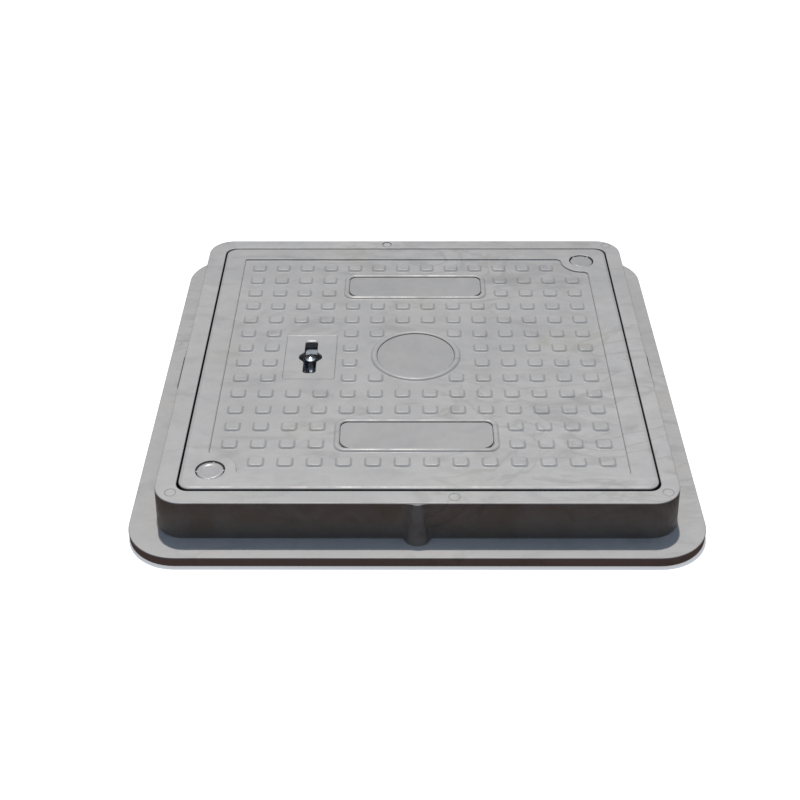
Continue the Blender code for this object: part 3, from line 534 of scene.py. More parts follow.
def make_frame():
    surface = Surface()
    steps = [(frame_outline(RELIEF_HALF, OPENING_CORNER), 0.0)]
    for size, height in (
        (1.6, 0.0), (0.6, 0.4), (0.25, 1.2), (0.0, 13.2), (0.25, 14.3), (0.8, 14.85), (1.6, 15.0),
    ):
        steps.append((frame_outline(FLANGE_HALF - size * MM, FLANGE_CORNER - size * MM), height * MM))
    foot_radius = 2.4 * MM
    for step in range(5):
        angle = math.pi / 2 * step / 4
        out = foot_radius * (1 - math.sin(angle))
        height = FLANGE_TOP + foot_radius * (1 - math.cos(angle))
        half = WALL_FOOT_HALF + out
        steps.append((frame_outline(half, RIM_CORNER + half - RIM_HALF, GUSSET_FOOT), height))
    steps += wall_steps()[1:]
    for out, drop in ((0.12, 1.4), (0.45, 0.7), (1.0, 0.22), (1.8, 0.0)):
        half = RIM_HALF - out * MM
        steps.append((frame_outline(half, RIM_CORNER - out * MM), TOP - drop * MM))
    foot_ring, rim_outer = surface.rise(steps)
    steps = []
    for out, drop in ((1.7, 0.0), (0.9, 0.18), (0.35, 0.6), (0.08, 1.3)):
        half = POCKET_HALF + out * MM
        steps.append((frame_outline(half, POCKET_CORNER + out * MM, None, POCKET_SHIFT), TOP - drop * MM))
    steps.append((frame_outline(POCKET_HALF, POCKET_CORNER, None, POCKET_SHIFT), TOP - 14 * MM))
    for half, corner, height in (
        (POCKET_HALF, POCKET_CORNER, LEDGE_TOP + 1.5 * MM),
        (POCKET_HALF - 0.5 * MM, POCKET_CORNER, LEDGE_TOP + 0.5 * MM),
        (POCKET_HALF - 1.5 * MM, POCKET_CORNER, LEDGE_TOP),
        (OPENING_HALF + 1.2 * MM, OPENING_CORNER, LEDGE_TOP),
        (OPENING_HALF + 0.3 * MM, OPENING_CORNER, LEDGE_TOP - 0.4 * MM),
        (OPENING_HALF, OPENING_CORNER, LEDGE_TOP - 1.3 * MM),
        (OPENING_HALF, OPENING_CORNER, LEDGE_LOW + 1.0 * MM),
        (OPENING_HALF + 1.0 * MM, OPENING_CORNER, LEDGE_LOW),
        (RELIEF_HALF - 1.5 * MM, OPENING_CORNER, LEDGE_LOW),
        (RELIEF_HALF, OPENING_CORNER, LEDGE_LOW - 1.5 * MM),
    ):
        steps.append((frame_outline(half, corner), height))
    rim_inner, last = surface.rise(steps)
    surface.bridge(last, foot_ring)
    surface.fill([rim_outer, rim_inner] + [pin_mark(surface, place) for place in PIN_MARKS])
    made = surface.finish("frame_shell", MATERIALS["frame_resin"], ["frame"])
    cutter = channel_cutter()
    hollow = made.modifiers.new("underside channels", "BOOLEAN")
    hollow.operation = "DIFFERENCE"
    hollow.solver = "EXACT"
    hollow.object = cutter
    apply_modifiers(made)
    bpy.data.objects.remove(cutter)
    return made


def channel_cutter():
    """Boxes for the hollows between the skins of each wall."""
    shape = bmesh.new()
    away = -(RELIEF_HALF + RIM_HALF) / 2 - 0.5 * MM
    size = Matrix.Diagonal((*CHANNEL_SIZE, 1.0))
    for side in range(4):
        turn = Matrix.Rotation(side * math.pi / 2, 4, "Z")
        for index in range(CHANNELS):
            middle = ((index - (CHANNELS - 1) / 2) * CHANNEL_PITCH, away, CHANNEL_SIZE[2] / 2 - 2 * MM)
            bmesh.ops.create_cube(shape, size=1.0, matrix=turn @ Matrix.Translation(middle) @ size)
    data = bpy.data.meshes.new("channel_cutter")
    shape.to_mesh(data)
    shape.free()
    cutter = bpy.data.objects.new("channel_cutter", data)
    bpy.context.scene.collection.objects.link(cutter)
    return cutter


def apply_modifiers(piece):
    """Replaces the piece's mesh by the evaluated one."""
    bpy.context.view_layer.update()
    graph = bpy.context.evaluated_depsgraph_get()
    data = bpy.data.meshes.new_from_object(piece.evaluated_get(graph))
    piece.modifiers.clear()
    old = piece.data
    piece.data = data
    bpy.data.meshes.remove(old)
    data.name = piece.name


# ---------------------------------------------------------------- lid

LID_HALF = LID_HIGH[0]
LID_CORNER = 17.5 * MM
LID_FOOT = 39 * MM
SKIRT_FOOT_HALF = 319.5 * MM
SKIRT_INNER = 309 * MM
PLATE_LOW = 65 * MM
PANEL_HALF = 287 * MM
PLUG_OFFSET = 280.5 * MM
PLUG_BULGE = 35.2 * MM
PLUG_BULGE_FOOT = 7 * MM
PLUG_SEAT = 20.2 * MM
PLUG_SINK = TOP - 8.3 * MM
STEM_HOLE = 14.5 * MM
BOSS_RADIUS = 27 * MM
BOSS_LOW = 50 * MM
STUD_PITCH = 40 * MM
STUDS_PER_SIDE = 14
STUD_HALF = 9.3 * MM
PLATE_OFFSET = 200 * MM
RIM_OUTER = (114.3 * MM, 37.0 * MM)
RIM_OUTER_CORNER = 15 * MM
RIM_INNER = (107.5 * MM, 30.0 * MM)
RIM_INNER_CORNER = 10 * MM
RING_OUTER = 67 * MM
RING_INNER = 59 * MM
SEAT_LOW = INSERT_LOW[2] - 0.3 * MM
LID_SHIFT = (1.95 * MM, 1.8 * MM)
LID_WIDER = 0.7 * MM
LID_SHOULDER = (
    (0.1, 2.6), (0.3, 1.9), (0.7, 1.30), (1.3, 0.88), (2.9, 0.36), (3.9, 0.12), (4.9, 0.02), (5.8, 0.0),
)
PANEL_SHIFT = 1.1 * MM
KEY_ROOM_HALF = (37.5 * MM, 43 * MM)
KEY_ROOM_CORNER = 37 * MM
KEY_HALF = ((KEY_HIGH[0] - KEY_LOW[0]) / 2, (KEY_HIGH[1] - KEY_LOW[1]) / 2)
LOCK_PAD_LOW = HOUSING_HIGH[2] + 0.3 * MM
LOCK_PAD_RADIUS = 63 * MM
SLOT_HALF = (9.5 * MM, 42.5 * MM)
SLOT_CORNER = 5 * MM
PLUG_SHIFT = (0.8 * MM, 0.7 * MM)
PLUG_PLACES = [(side * PLUG_OFFSET + PLUG_SHIFT[0], side * PLUG_OFFSET + PLUG_SHIFT[1]) for side in (-1, 1)]


def has_stud(column, row):
    """Whether the grid has a stud there, counted from the back left corner."""
    if (column, row) in ((14, 1), (1, 14)):
        return False
    if 5 <= column <= 10 and row in (2, 3, 12, 13):
        return False
    if column in (3, 4) and 6 <= row <= 9:
        return False
    if column in (7, 8) and 6 <= row <= 9:
        return False
    return not (column in (6, 9) and row in (7, 8))


def panel_outline(grow, spread):
    """Inner edge of the raised border, grown outwards: plain corners and bites round the plugs.

    The left and right halves are moved apart by the spread as well.
    """
    half = PANEL_HALF + grow
    foot = PLUG_BULGE_FOOT
    inset = PANEL_HALF - foot
    along = PLUG_OFFSET - math.sqrt((PLUG_BULGE + foot) ** 2 - (PLUG_OFFSET - inset) ** 2)
    turn = math.atan2(PLUG_OFFSET - along, PLUG_OFFSET - inset)
    back_right = arc((inset, along), foot + grow, 0.0, turn, 8)
    bite = arc((PLUG_OFFSET, PLUG_OFFSET), PLUG_BULGE - grow, turn + math.pi, 1.5 * math.pi - turn, 22)
    back_right += bite[1:-1]
    back_right += arc((along, inset), foot + grow, math.pi / 2 - turn, math.pi / 2, 8)
    corner = 1.6 * MM + grow * 0.5
    plain = arc((half - corner, half - corner), corner, 0.0, math.pi / 2, len(back_right) - 1)
    points = []
    for side, local in enumerate((back_right, plain, back_right, plain)):
        angle = side * math.pi / 2
        cosine, sine = math.cos(angle), math.sin(angle)
        points += [(x * cosine - y * sine, x * sine + y * cosine) for x, y in local]
    return [(x + math.copysign(spread, x) + PANEL_SHIFT, y) for x, y in points]


def slot_outline(grow, back=0.0, steps=6):
    """Key slot with its two blunt side notches, grown outwards, and further still at its back end."""
    half_x, half_y = SLOT_HALF[0] + grow, SLOT_HALF[1] + grow
    corner = SLOT_CORNER + grow
    notch = ((17.3, 0.0), (17.15, 2.4), (16.5, 4.6), (15.2, 6.5), (12.6, 9.3), (10.6, 11.5))
    quarter = [(x * MM + grow, y * MM + 0.6 * grow) for x, y in notch]
    quarter.append((half_x, 13.4 * MM + 0.6 * grow))
    quarter += arc((half_x - corner, half_y - corner), corner, 0.0, math.pi / 2, steps)
    top = quarter + [(-x, y) for x, y in reversed(quarter)]
    whole = [(x, y + back * max(0.0, y / half_y - 0.8) * 5) for x, y in top]
    whole += [(x, -y) for x, y in reversed(top[1:-1])]
    return [(LOCK[0] + x, LOCK[1] + y) for x, y in whole]


def stud_rings(surface, centre, size):
    """One anti-slip stud: hollow foot, sloping sides and rounded top. Returns its foot ring."""
    profile = (
        (3.4, PANEL), (2.6, PANEL + 0.12 * MM), (2.0, PANEL + 0.45 * MM), (1.1, PANEL + 1.30 * MM),
        (0.2, TOP - 0.68 * MM), (-0.35, TOP - 0.30 * MM), (-0.8, TOP - 0.12 * MM), (-1.4, TOP - 0.03 * MM),
        (-2.3, TOP),
    )
    steps = []
    for out, height in profile:
        half = size + out * MM
        corner = 3.9 * MM + max(out, -1.2) * 0.75 * MM
        steps.append((rounded(half, half, corner, centre, 5), height))
    foot_ring, top_ring = surface.rise(steps)
    surface.cap(top_ring)
    return foot_ring


def raised_rim(surface, outer_at, inner_at):
    """Raised rim shaped as a bead, down to the seat of its insert. Returns its foot ring."""
    outer = ((2.4, 0.0), (1.6, 0.12), (1.0, 0.42), (0.45, 0.95), (-0.1, 1.60), (-0.6, 1.98), (-1.2, 2.24),
             (-2.5, 2.66), (-3.0, 2.74))
    inner = ((3.4, 2.76), (2.8, 2.66), (1.2, 2.14), (0.55, 1.72), (0.20, 1.2), (0.05, 0.7))
    steps = [(outer_at(out * MM), PANEL + rise * MM) for out, rise in outer]
    steps += [(inner_at(out * MM), PANEL + rise * MM) for out, rise in inner]
    steps.append((inner_at(0.0), SEAT_LOW))
    foot_ring, seat_ring = surface.rise(steps)
    surface.cap(seat_ring)
    return foot_ring


def plug_seat_rings(place):
    """Rings of a lift hole, from the lid's top down to the foot of its boss."""
    chamfer = 0.55 * MM
    if place[1] > 0:
        def lip(angle):
            return bump_at(angle, math.pi / 2, math.radians(36), math.radians(8))
    else:
        def lip(angle):
            return 0.18 * bump_at(angle, math.radians(105), math.radians(50), math.radians(40))

    def wall(angle):
        return PLUG_SEAT - 1.0 * MM * lip(angle)

    return [
        (wavy(lambda a: wall(a) + chamfer + 1.9 * MM * lip(a), place), TOP),
        (wavy(lambda a: wall(a) + 0.6 * chamfer + 1.3 * MM * lip(a), place), TOP - 0.12 * MM),
        (wavy(lambda a: wall(a) + 0.2 * chamfer, place), TOP - 0.45 * MM),
        (wavy(wall, place), TOP - 1.0 * MM),
        (wavy(wall, place), PLUG_SINK),
        (circle(STEM_HOLE, place, 96), PLUG_SINK),
        (circle(STEM_HOLE, place, 96), BOSS_LOW),
        (circle(BOSS_RADIUS - 0.6 * MM, place, 96), BOSS_LOW),
        (circle(BOSS_RADIUS, place, 96), BOSS_LOW + 0.6 * MM),
        (circle(BOSS_RADIUS, place, 96), PLATE_LOW),
    ]


def make_lid():
    surface = Surface()
    border = [
        (square(SKIRT_INNER, 6 * MM), PLATE_LOW),
        (square(SKIRT_INNER, 6 * MM), LID_FOOT + 0.8 * MM),
        (square(SKIRT_INNER + 0.8 * MM, 6.8 * MM), LID_FOOT),
        (square(SKIRT_FOOT_HALF - 0.8 * MM, LID_CORNER - 2 * MM), LID_FOOT),
        (square(SKIRT_FOOT_HALF, LID_CORNER - 1.2 * MM), LID_FOOT + 0.8 * MM),
    ]
    for size, drop in LID_SHOULDER:
        half = LID_HALF - size * MM
        outline = rounded(half + LID_WIDER, half, LID_CORNER - 0.4 * size * MM, LID_SHIFT)
        border.append((outline, TOP - drop * MM))
    under, over = surface.rise(border)

    edge = (
        (1.5, 0.9, TOP), (0.85, 0.6, TOP - 0.12 * MM), (0.40, 0.3, TOP - 0.5 * MM),
        (0.0, 0.0, TOP - 1.3 * MM), (-0.35, -0.3, PANEL + 0.6 * MM), (-0.8, -0.6, PANEL + 0.15 * MM),
        (-1.5, -0.9, PANEL),
    )
    border_inner, panel_edge = surface.rise([
        (panel_outline(out * MM, side * MM), height) for out, side, height in edge
    ])

    tops, bosses = [over, border_inner], []
    for place in PLUG_PLACES:
        top_ring, boss_ring = surface.rise(plug_seat_rings(place))
        tops.append(top_ring)
        bosses.append(boss_ring)
    surface.fill(tops)

    feet = [panel_edge]
    middle = (STUDS_PER_SIDE + 1) / 2
    for row in range(1, STUDS_PER_SIDE + 1):
        for column in range(1, STUDS_PER_SIDE + 1):
            if has_stud(column, row):
                centre = ((column - middle) * STUD_PITCH, (middle - row) * STUD_PITCH)
                feet.append(stud_rings(surface, centre, STUD_HALF))
    feet.append(raised_rim(surface, lambda out: circle(RING_OUTER + out, steps=96),
                           lambda out: circle(RING_INNER + out, steps=96)))
    for side in (-1, 1):
        centre = (0.0, side * PLATE_OFFSET)
        feet.append(raised_rim(
            surface,
            lambda out: rounded(RIM_OUTER[0] + out, RIM_OUTER[1] + out, RIM_OUTER_CORNER + out, centre),
            lambda out: rounded(RIM_INNER[0] + out, RIM_INNER[1] + out, RIM_INNER_CORNER + out, centre),
        ))
    key_ring, key_floor = surface.rise([
        (rounded(KEY_HALF[0] + out * MM, KEY_HALF[1] + out * MM, (3 + out) * MM, LOCK), height)
        for out, height in ((1.8, PANEL), (1.1, PANEL - 0.06 * MM), (0.35, PANEL - 0.28 * MM),
                            (0.25, PANEL - 0.6 * MM), (0.25, KEY_LOW[2] - 0.3 * MM))
    ])
    feet.append(key_ring)
    surface.fill(feet)

    room_top, room_low = surface.rise([
        (rounded(*KEY_ROOM_HALF, KEY_ROOM_CORNER, LOCK, 14), KEY_LOW[2] - 0.3 * MM),
        (rounded(*KEY_ROOM_HALF, KEY_ROOM_CORNER, LOCK, 14), LOCK_PAD_LOW),
    ])
    surface.fill([key_floor, room_top])
    pad_low, pad_top = surface.rise([
        (circle(LOCK_PAD_RADIUS - 0.6 * MM, LOCK), LOCK_PAD_LOW),
        (circle(LOCK_PAD_RADIUS, LOCK), LOCK_PAD_LOW + 0.6 * MM),
        (circle(LOCK_PAD_RADIUS, LOCK), PLATE_LOW),
    ])
    surface.fill([pad_low, room_low])
    surface.fill([under, pad_top] + bosses)
    return surface.finish("lid_shell", MATERIALS["lid_resin"], ["lid"])


# ---------------------------------------------------------------- ribs under the lid

RIB_LOW = LID_LOW[2]
RIB_REACH = 294 * MM
RIB_PITCH = 80 * MM
RIB_FOOT_HALF = 3.4 * MM
RIB_ROOT_HALF = 4.6 * MM
LOCK_BAY_HALF = 72 * MM


def tapered_bar(shape, low, high, draft):
    """Box from low to high whose foot is narrower than its root by the draft."""
    made = bmesh.ops.create_cube(shape, size=1.0)["verts"]
    for vertex in made:
        at_foot = vertex.co.z < 0
        for axis in range(3):
            value = low[axis] if vertex.co[axis] < 0 else high[axis]
            if at_foot and axis < 2:
                value += draft if vertex.co[axis] < 0 else -draft
            vertex.co[axis] = value
    return made


def rib_bars():
    """Low and high corners of every bar of the rib grid, the bay of the lock left free."""
    bars = []
    top = PLATE_LOW + 0.8 * MM
    half = RIB_ROOT_HALF
    for index in range(7):
        place = (index - 3) * RIB_PITCH
        for axis in (0, 1):
            gap = LOCK_BAY_HALF if abs(place - LOCK[axis]) < LOCK_BAY_HALF else None
            other = LOCK[1 - axis]
            spans = [(-RIB_REACH, RIB_REACH)]
            if gap:
                spans = [(-RIB_REACH, other - gap), (other + gap, RIB_REACH)]
            for start, end in spans:
                low, high = [0.0, 0.0, RIB_LOW], [0.0, 0.0, top]
                low[axis], high[axis] = place - half, place + half
                low[1 - axis], high[1 - axis] = start, end
                bars.append((low, high))
            for start, end in ((-SKIRT_INNER - MM, -RIB_REACH + MM), (RIB_REACH - MM, SKIRT_INNER + MM)):
                low, high = [0.0, 0.0, LID_FOOT + 4 * MM], [0.0, 0.0, top]
                low[axis], high[axis] = place - half, place + half
                low[1 - axis], high[1 - axis] = start, end
                bars.append((low, high))
    return bars


def pad_bars():
    """Blocks that take the screws of the bolt guides and of the toe clips."""
    bars = []
    top = PLATE_LOW + 0.8 * MM
    for name in ("bolt_guide_outer", "bolt_guide_inner"):
        low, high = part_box(name)
        bars.append(([low[0] - 2 * MM, low[1] - 2 * MM, RIB_LOW], [high[0] + 2 * MM, high[1] + 2 * MM, top]))
    for name in ("toe_clip_front", "toe_clip_rear"):
        low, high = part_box(name)
        bars.append(([low[0] - 3 * MM, low[1] - 2 * MM, RIB_LOW], [high[0] - 44 * MM, high[1] + 2 * MM, top]))
    return bars


def make_ribs():
    """One closed body of crossing ribs, joined by exact unions and with rounded edges."""
    shape = bmesh.new()
    for low, high in rib_bars() + pad_bars():
        tapered_bar(shape, low, high, RIB_ROOT_HALF - RIB_FOOT_HALF)
    data = bpy.data.meshes.new("lid_ribs")
    shape.to_mesh(data)
    shape.free()
    ribs = bpy.data.objects.new("lid_ribs", data)
    bpy.context.scene.collection.objects.link(ribs)
    data.materials.append(MATERIALS["lid_resin"])
    seed = bpy.data.meshes.new("rib_seed")
    seed_shape = bmesh.new()
    half = 20 * MM
    tapered_bar(seed_shape, (-half, -half, PLATE_LOW + 0.2 * MM), (half, half, PLATE_LOW + 0.6 * MM), 0.0)
    seed_shape.to_mesh(seed)
    seed_shape.free()
    seed_object = bpy.data.objects.new("rib_seed", seed)
    bpy.context.scene.collection.objects.link(seed_object)
    join = ribs.modifiers.new("join", "BOOLEAN")
    join.operation = "UNION"
    join.solver = "EXACT"
    join.use_self = True
    join.object = seed_object
    apply_modifiers(ribs)
    bpy.data.objects.remove(seed_object)
    soften(ribs, 0.7 * MM)
    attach(ribs, "lid")
    return ribs


def soften(piece, width, segments=2, angle=32.0):
    """Rounds a piece's edges and evens its shading."""
    weld = piece.modifiers.new("weld", "WELD")
    weld.merge_threshold = 0.00001
    flat = piece.modifiers.new("flat faces", "DECIMATE")
    flat.decimate_type = "DISSOLVE"
    flat.angle_limit = math.radians(1.0)
    bevel = piece.modifiers.new("round edges", "BEVEL")
    bevel.width = width
    bevel.segments = segments
    bevel.limit_method = "ANGLE"
    bevel.angle_limit = math.radians(angle)
    weighted = piece.modifiers.new("even shading", "WEIGHTED_NORMAL")
    weighted.keep_sharp = True
    piece.data.shade_smooth()


# ---------------------------------------------------------------- inserts, plugs and gasket


def rounded_plate(surface, outline_at, low, high, edge):
    """Plate with a rounded top edge and a small bevel below. Returns its low and top rings."""
    return surface.rise([
        (outline_at(-0.3 * MM), low),
        (outline_at(0.0), low + 0.3 * MM),
        (outline_at(0.0), high - edge),
        (outline_at(-edge * 0.12), high - edge * 0.55),
        (outline_at(-edge * 0.45), high - edge * 0.15),
        (outline_at(-edge), high),
    ])


INSERT_CORNERS = (11.5 * MM, 11.5 * MM, 19.0 * MM, 19.0 * MM)


def make_nameplates():
    for name in ("nameplate_front", "nameplate_rear"):
        low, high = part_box(name)
        centre = ((low[0] + high[0]) / 2, (low[1] + high[1]) / 2)
        half_x, half_y = (high[0] - low[0]) / 2, (high[1] - low[1]) / 2
        surface = Surface()

        def outline_at(out):
            return corners(half_x + out, half_y + out, [radius + out for radius in INSERT_CORNERS], centre)

        foot_ring, top_ring = rounded_plate(surface, outline_at, low[2], high[2], 0.8 * MM)
        surface.cap(foot_ring)
        surface.cap(top_ring)
        surface.finish(f"{name}_insert", MATERIALS["insert_resin"], [name])


def make_badge():
    low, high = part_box("centre_badge")
    radius = (high[0] - low[0]) / 2
    surface = Surface()
    foot_ring, top_ring = rounded_plate(
        surface, lambda out: circle(radius + out, steps=96), low[2], high[2], 0.8 * MM,
    )
    surface.cap(foot_ring)
    surface.cap(top_ring)
    surface.finish("centre_badge_insert", MATERIALS["insert_resin"], ["centre_badge"])


def make_key_plate():
    surface = Surface()
    foot_ring, top_ring = rounded_plate(
        surface, lambda out: rounded(KEY_HALF[0] + out, KEY_HALF[1] + out, 3 * MM + out, LOCK),
        KEY_LOW[2], KEY_HIGH[2], 0.4 * MM,
    )
    slot_low, slot_top = surface.rise([
        (slot_outline(0.0), KEY_LOW[2]),
        (slot_outline(0.0), PANEL - 1.5 * MM),
        (slot_outline(0.10 * MM, 0.3 * MM), PANEL - 1.20 * MM),
        (slot_outline(0.30 * MM, 1.6 * MM), PANEL - 0.70 * MM),
        (slot_outline(0.55 * MM, 3.2 * MM), PANEL - 0.22 * MM),
        (slot_outline(1.0 * MM, 4.2 * MM), PANEL),
    ])
    surface.fill([foot_ring, slot_low])
    surface.fill([top_ring, slot_top])
    surface.finish("keyhole_plate_insert", MATERIALS["lid_resin"], ["keyhole_plate"])


def make_gasket():
    low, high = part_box("seat_gasket")
    surface = Surface()
    outer, inner = high[0], 308.5 * MM
    middle = (outer + inner) / 2
    lip = 0.7 * MM
    steps = [
        (square(inner + lip, 8.7 * MM), low[2]),
        (square(outer - lip, 15.3 * MM), low[2]),
        (square(outer, 16 * MM), low[2] + lip),
        (square(outer - 0.2 * MM, 15.8 * MM), high[2] - lip),
        (square(outer - 1.2 * MM, 14.8 * MM), high[2]),
        (square(middle + 1.2 * MM, 13 * MM), high[2]),
        (square(middle + 0.6 * MM, 12.5 * MM), high[2] - 0.9 * MM),
        (square(middle - 0.6 * MM, 11.5 * MM), high[2] - 0.9 * MM),
        (square(middle - 1.2 * MM, 11 * MM), high[2]),
        (square(inner + 1.2 * MM, 9.2 * MM), high[2]),
        (square(inner + 0.2 * MM, 8.2 * MM), high[2] - lip),
        (square(inner, 8 * MM), low[2] + lip),
    ]
    first, last = surface.rise(steps)
    surface.bridge(last, first)
    surface.finish("seat_gasket_ring", MATERIALS["rubber"], ["seat_gasket"])


# Lugs across each plug's groove: angle and half width in degrees, and reach
PLUG_LUGS = {
    "lift_plug_front_left": ((0.0, 2.5, 1.0), (80.0, 2.0, 0.75), (185.0, 3.5, 1.0), (262.0, 14.5, 0.72)),
    "lift_plug_back_right": ((50.0, 3.0, 0.9), (130.0, 3.0, 0.9), (185.0, 2.0, 0.6), (253.0, 4.0, 0.72)),
}
PLUG_DISH = {"lift_plug_front_left": 0.75 * MM, "lift_plug_back_right": 0.15 * MM}
PLUG_SET_BACK = -0.7 * MM
PLUG_SUNK = 0.45 * MM


def plug_centre(low, high):
    """Middle of a plug's hole, moved as the seats in the lid are."""
    return ((low[0] + high[0]) / 2 + PLUG_SHIFT[0], (low[1] + high[1]) / 2 + PLUG_SHIFT[1])


def make_plugs():
    """Lift-hole plugs: rounded disc, hollow stem with a groove for its ring, and lugs across the gap."""
    for name, lugs in PLUG_LUGS.items():
        low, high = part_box(name)
        centre = plug_centre(low, high)
        disc = (centre[0], centre[1] + PLUG_SET_BACK)
        dish = PLUG_DISH[name]
        disc_low = TOP - 8 * MM
        neck_low, neck_high = 57.1 * MM, 60.9 * MM

        def with_lugs(radius, reach):
            def radius_at(angle):
                most = 0.0
                for middle, half_width, size in lugs:
                    share = bump_at(angle, math.radians(middle), math.radians(half_width), math.radians(3.0))
                    most = max(most, share * size)
                return (radius + most * reach) * MM
            return wavy(radius_at, disc, 144)

        stem = ((9.0, low[2]), (13.0, low[2]), (14.0, low[2] + MM), (14.0, neck_low), (11.8, neck_low),
                (11.8, neck_high), (14.0, neck_high), (14.0, disc_low))
        steps = [(circle(radius * MM, centre, 144), height) for radius, height in stem]
        top = TOP - PLUG_SUNK
        for radius, reach, drop in (
            (17.8, 1.5, 7.5), (18.2, 1.65, 7.0), (18.2, 1.65, 1.9), (18.1, 1.75, 1.35), (17.8, 2.0, 0.95),
            (17.2, 2.4, 0.62), (16.3, 2.6, 0.30), (15.2, 2.6, 0.08), (14.3, 2.2, 0.0),
        ):
            steps.append((with_lugs(radius, reach), top - drop * MM))
        for radius, depth in ((13.4, 0.10), (12.4, 0.42), (11.2, 0.85), (9.5, 1.0), (4.0, 1.0)):
            steps.append((circle(radius * MM, disc, 144), top - depth * dish))
        surface = Surface()
        first, last = surface.rise(steps)
        surface.cap(last)
        inner_first, inner_last = surface.rise([
            (circle(9.0 * MM, centre, 144), low[2]), (circle(9.0 * MM, centre, 144), disc_low + 2 * MM),
        ])
        surface.cap(inner_last)
        bmesh.ops.weld_verts(surface.mesh, targetmap=dict(zip(inner_first, first)))
        surface.finish(f"{name}_cap", MATERIALS["plug_resin"], [name])


def make_rings():
    for name in ("plug_ring_front_left", "plug_ring_back_right"):
        low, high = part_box(name)
        centre = plug_centre(low, high)
        thick = (high[2] - low[2]) / 2
        major = (high[0] - low[0]) / 2 - thick
        middle = (high[2] + low[2]) / 2
        surface = Surface()
        steps = []
        for index in range(16):
            angle = 2 * math.pi * index / 16
            outline = circle(major + thick * math.cos(angle), centre, 72)
            steps.append((outline, middle + thick * math.sin(angle)))
        first, last = surface.rise(steps)
        surface.bridge(last, first)
        surface.finish(f"{name}_oring", MATERIALS["rubber"], [name])


# ---------------------------------------------------------------- lock spindle

HEAD_CORNER_RADIUS = 11.6 * MM
HEAD_ROUND = 8.8 * MM
HEAD_SLOPE = 0.40
HEAD_DOME = 1.2
SPINDLE_STEP = 25.7 * MM


def head_outline(cone_radius, steps=18):
    """Section of the blunt square key head, one corner to the front, where its coned top has that radius."""
    points = []
    for index in range(4 * steps):
        angle = 2 * math.pi * index / (4 * steps)
        flat = HEAD_CORNER_RADIUS / (abs(math.cos(angle)) + abs(math.sin(angle)))
        radius = min(flat, HEAD_ROUND, cone_radius)
        points.append((LOCK[0] + radius * math.cos(angle), LOCK[1] + radius * math.sin(angle)))
    return points


def make_spindle():
    low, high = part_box("lock_spindle")
    collar_low, collar_high = HOUSING_LOW[2] + 5.3 * MM, HOUSING_LOW[2] + 8.3 * MM
    surface = Surface()
    steps = [(circle(radius * MM, LOCK, 72), height) for radius, height in (
        (5.4, low[2]), (6, low[2] + 0.8 * MM), (6, SPINDLE_STEP), (8, SPINDLE_STEP), (8, collar_low),
        (12.6, collar_low), (13, collar_low + 0.4 * MM), (13, collar_high - 0.4 * MM), (12.6, collar_high),
    )]
    steps.append((head_outline(HEAD_ROUND), collar_high))
    steps.append((head_outline(HEAD_ROUND), high[2] - 4.6 * MM))
    for radius in (8.75, 8.6, 8.4, 8.2, 7.9, 7.5, 6.5, 5.5, 4.5, 3.5, 2.5, 1.6, 0.8):
        drop = HEAD_SLOPE * (math.hypot(radius, HEAD_DOME) - HEAD_DOME) + max(0.0, radius - 8.1) ** 2 * 1.8
        steps.append((head_outline(radius * MM), high[2] - drop * MM))
    first, last = surface.rise(steps)
    surface.cap(first)
    surface.cap(last)
    surface.finish("lock_spindle_body", MATERIALS["polished_steel"], ["lock_spindle"], sharp=28.0)


def dress_cad_nodes():
    """The other pieces keep their CAD solids, with rounded edges and their slot's material.

    The cup below the key slot gets a darker, bluer steel than the rest: painted shade and painted sky
    reflection in the slot.
    """
    for name, node in NODES.items():
        node.data.materials.clear()
        node.data.materials.append(MATERIALS["shaded_cup_steel" if name == "lock_housing" else SLOT_OF[name]])
        if name not in REPLACED:
            soften(node, (0.25 if name in ROUND_PIECES else 0.45) * MM, angle=40.0)


ROUND_PIECES = ("lock_housing", "spindle_bush", "spindle_washer", "crank_pin")
REPLACED = {
    "frame", "lid", "seat_gasket", "nameplate_front", "nameplate_rear", "centre_badge", "keyhole_plate",
    "lift_plug_front_left", "lift_plug_back_right", "plug_ring_front_left", "plug_ring_back_right",
    "lock_spindle",
}


# ---------------------------------------------------------------- stage, light and camera


def make_floor():
    bpy.ops.mesh.primitive_plane_add(size=90.0, location=(0.0, 0.0, -0.0002))
    floor = bpy.context.object
    floor.name = "floor"
    floor.data.materials.append(floor_material())
    floor.visible_diffuse = False
    floor.visible_glossy = False


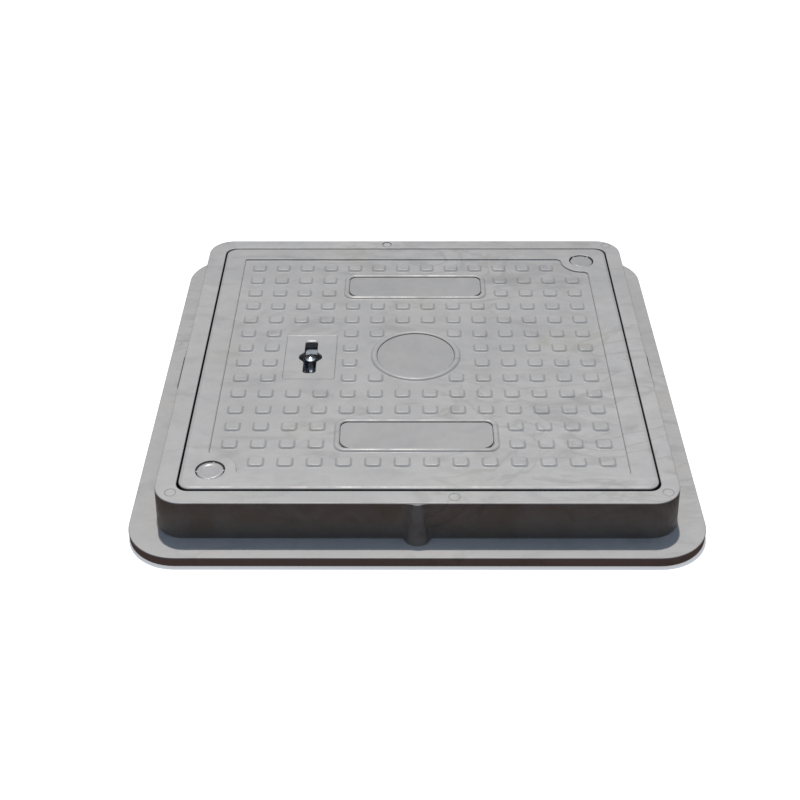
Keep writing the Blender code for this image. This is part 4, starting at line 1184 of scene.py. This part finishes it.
def make_light():
    """A high key light from behind and a soft pale sky, brightest overhead."""
    key = bpy.data.lights.new("key", "SUN")
    key.energy = 2.56
    key.angle = math.radians(2.0)
    key.color = (1.0, 0.934, 0.849)
    lamp = bpy.data.objects.new("key", key)
    bpy.context.scene.collection.objects.link(lamp)
    lamp.rotation_euler = Vector(KEY_TRAVEL).to_track_quat("-Z", "Y").to_euler()

    world = bpy.data.worlds.new("sky")
    bpy.context.scene.world = world
    world.use_nodes = True
    tree = world.node_tree
    background = tree.nodes["Background"]
    where = tree.nodes.new("ShaderNodeTexCoord")
    split = tree.nodes.new("ShaderNodeSeparateXYZ")
    ramp = tree.nodes.new("ShaderNodeValToRGB")
    tree.links.new(where.outputs["Generated"], split.inputs["Vector"])
    tree.links.new(split.outputs["Z"], ramp.inputs["Fac"])
    tree.links.new(ramp.outputs["Color"], background.inputs["Color"])
    stops = ramp.color_ramp.elements
    stops[0].color = (*GROUND_GLOW, 1.0)
    stops[1].color = (*ZENITH, 1.0)
    for position, colour in SKY_BANDS:
        stops.new(position).color = (*colour, 1.0)
    background.inputs["Strength"].default_value = 1.0


KEY_TRAVEL = (0.04, -0.415, -1.0)
GROUND_GLOW = (0.105, 0.066, 0.050)
ZENITH = (0.57, 0.70, 0.88)

# Colour of the sky by the height of its direction, between the ground glow and the zenith
SKY_BANDS = (
    (0.02, (0.016, 0.016, 0.016)),
    (0.35, (0.034, 0.038, 0.045)),
    (0.60, (0.125, 0.150, 0.185)),
    (0.80, (0.30, 0.36, 0.46)),
)


CAMERA_PLACE = (-0.01488, -1.68172, 1.20959)
CAMERA_TURNS = (("Z", 0.315), ("X", 54.01), ("Z", -0.182))


def make_camera():
    """Camera in front and above, 36 degrees over the horizon."""
    data = bpy.data.cameras.new("camera")
    data.lens = 60.0
    data.sensor_width = 36.0
    data.clip_start = 0.05
    camera = bpy.data.objects.new("camera", data)
    bpy.context.scene.collection.objects.link(camera)
    turns = [Matrix.Rotation(math.radians(angle), 4, axis) for axis, angle in CAMERA_TURNS]
    camera.matrix_world = Matrix.Translation(CAMERA_PLACE) @ turns[0] @ turns[1] @ turns[2]
    bpy.context.scene.camera = camera


for make in (
    make_camera, make_light, make_floor, make_frame, make_lid, make_ribs, make_nameplates, make_badge,
    make_key_plate, make_gasket, make_plugs, make_rings, make_spindle, dress_cad_nodes,
):
    make()
bpy.context.scene.view_settings.view_transform = "Standard"

bpy.context.view_layer.update()
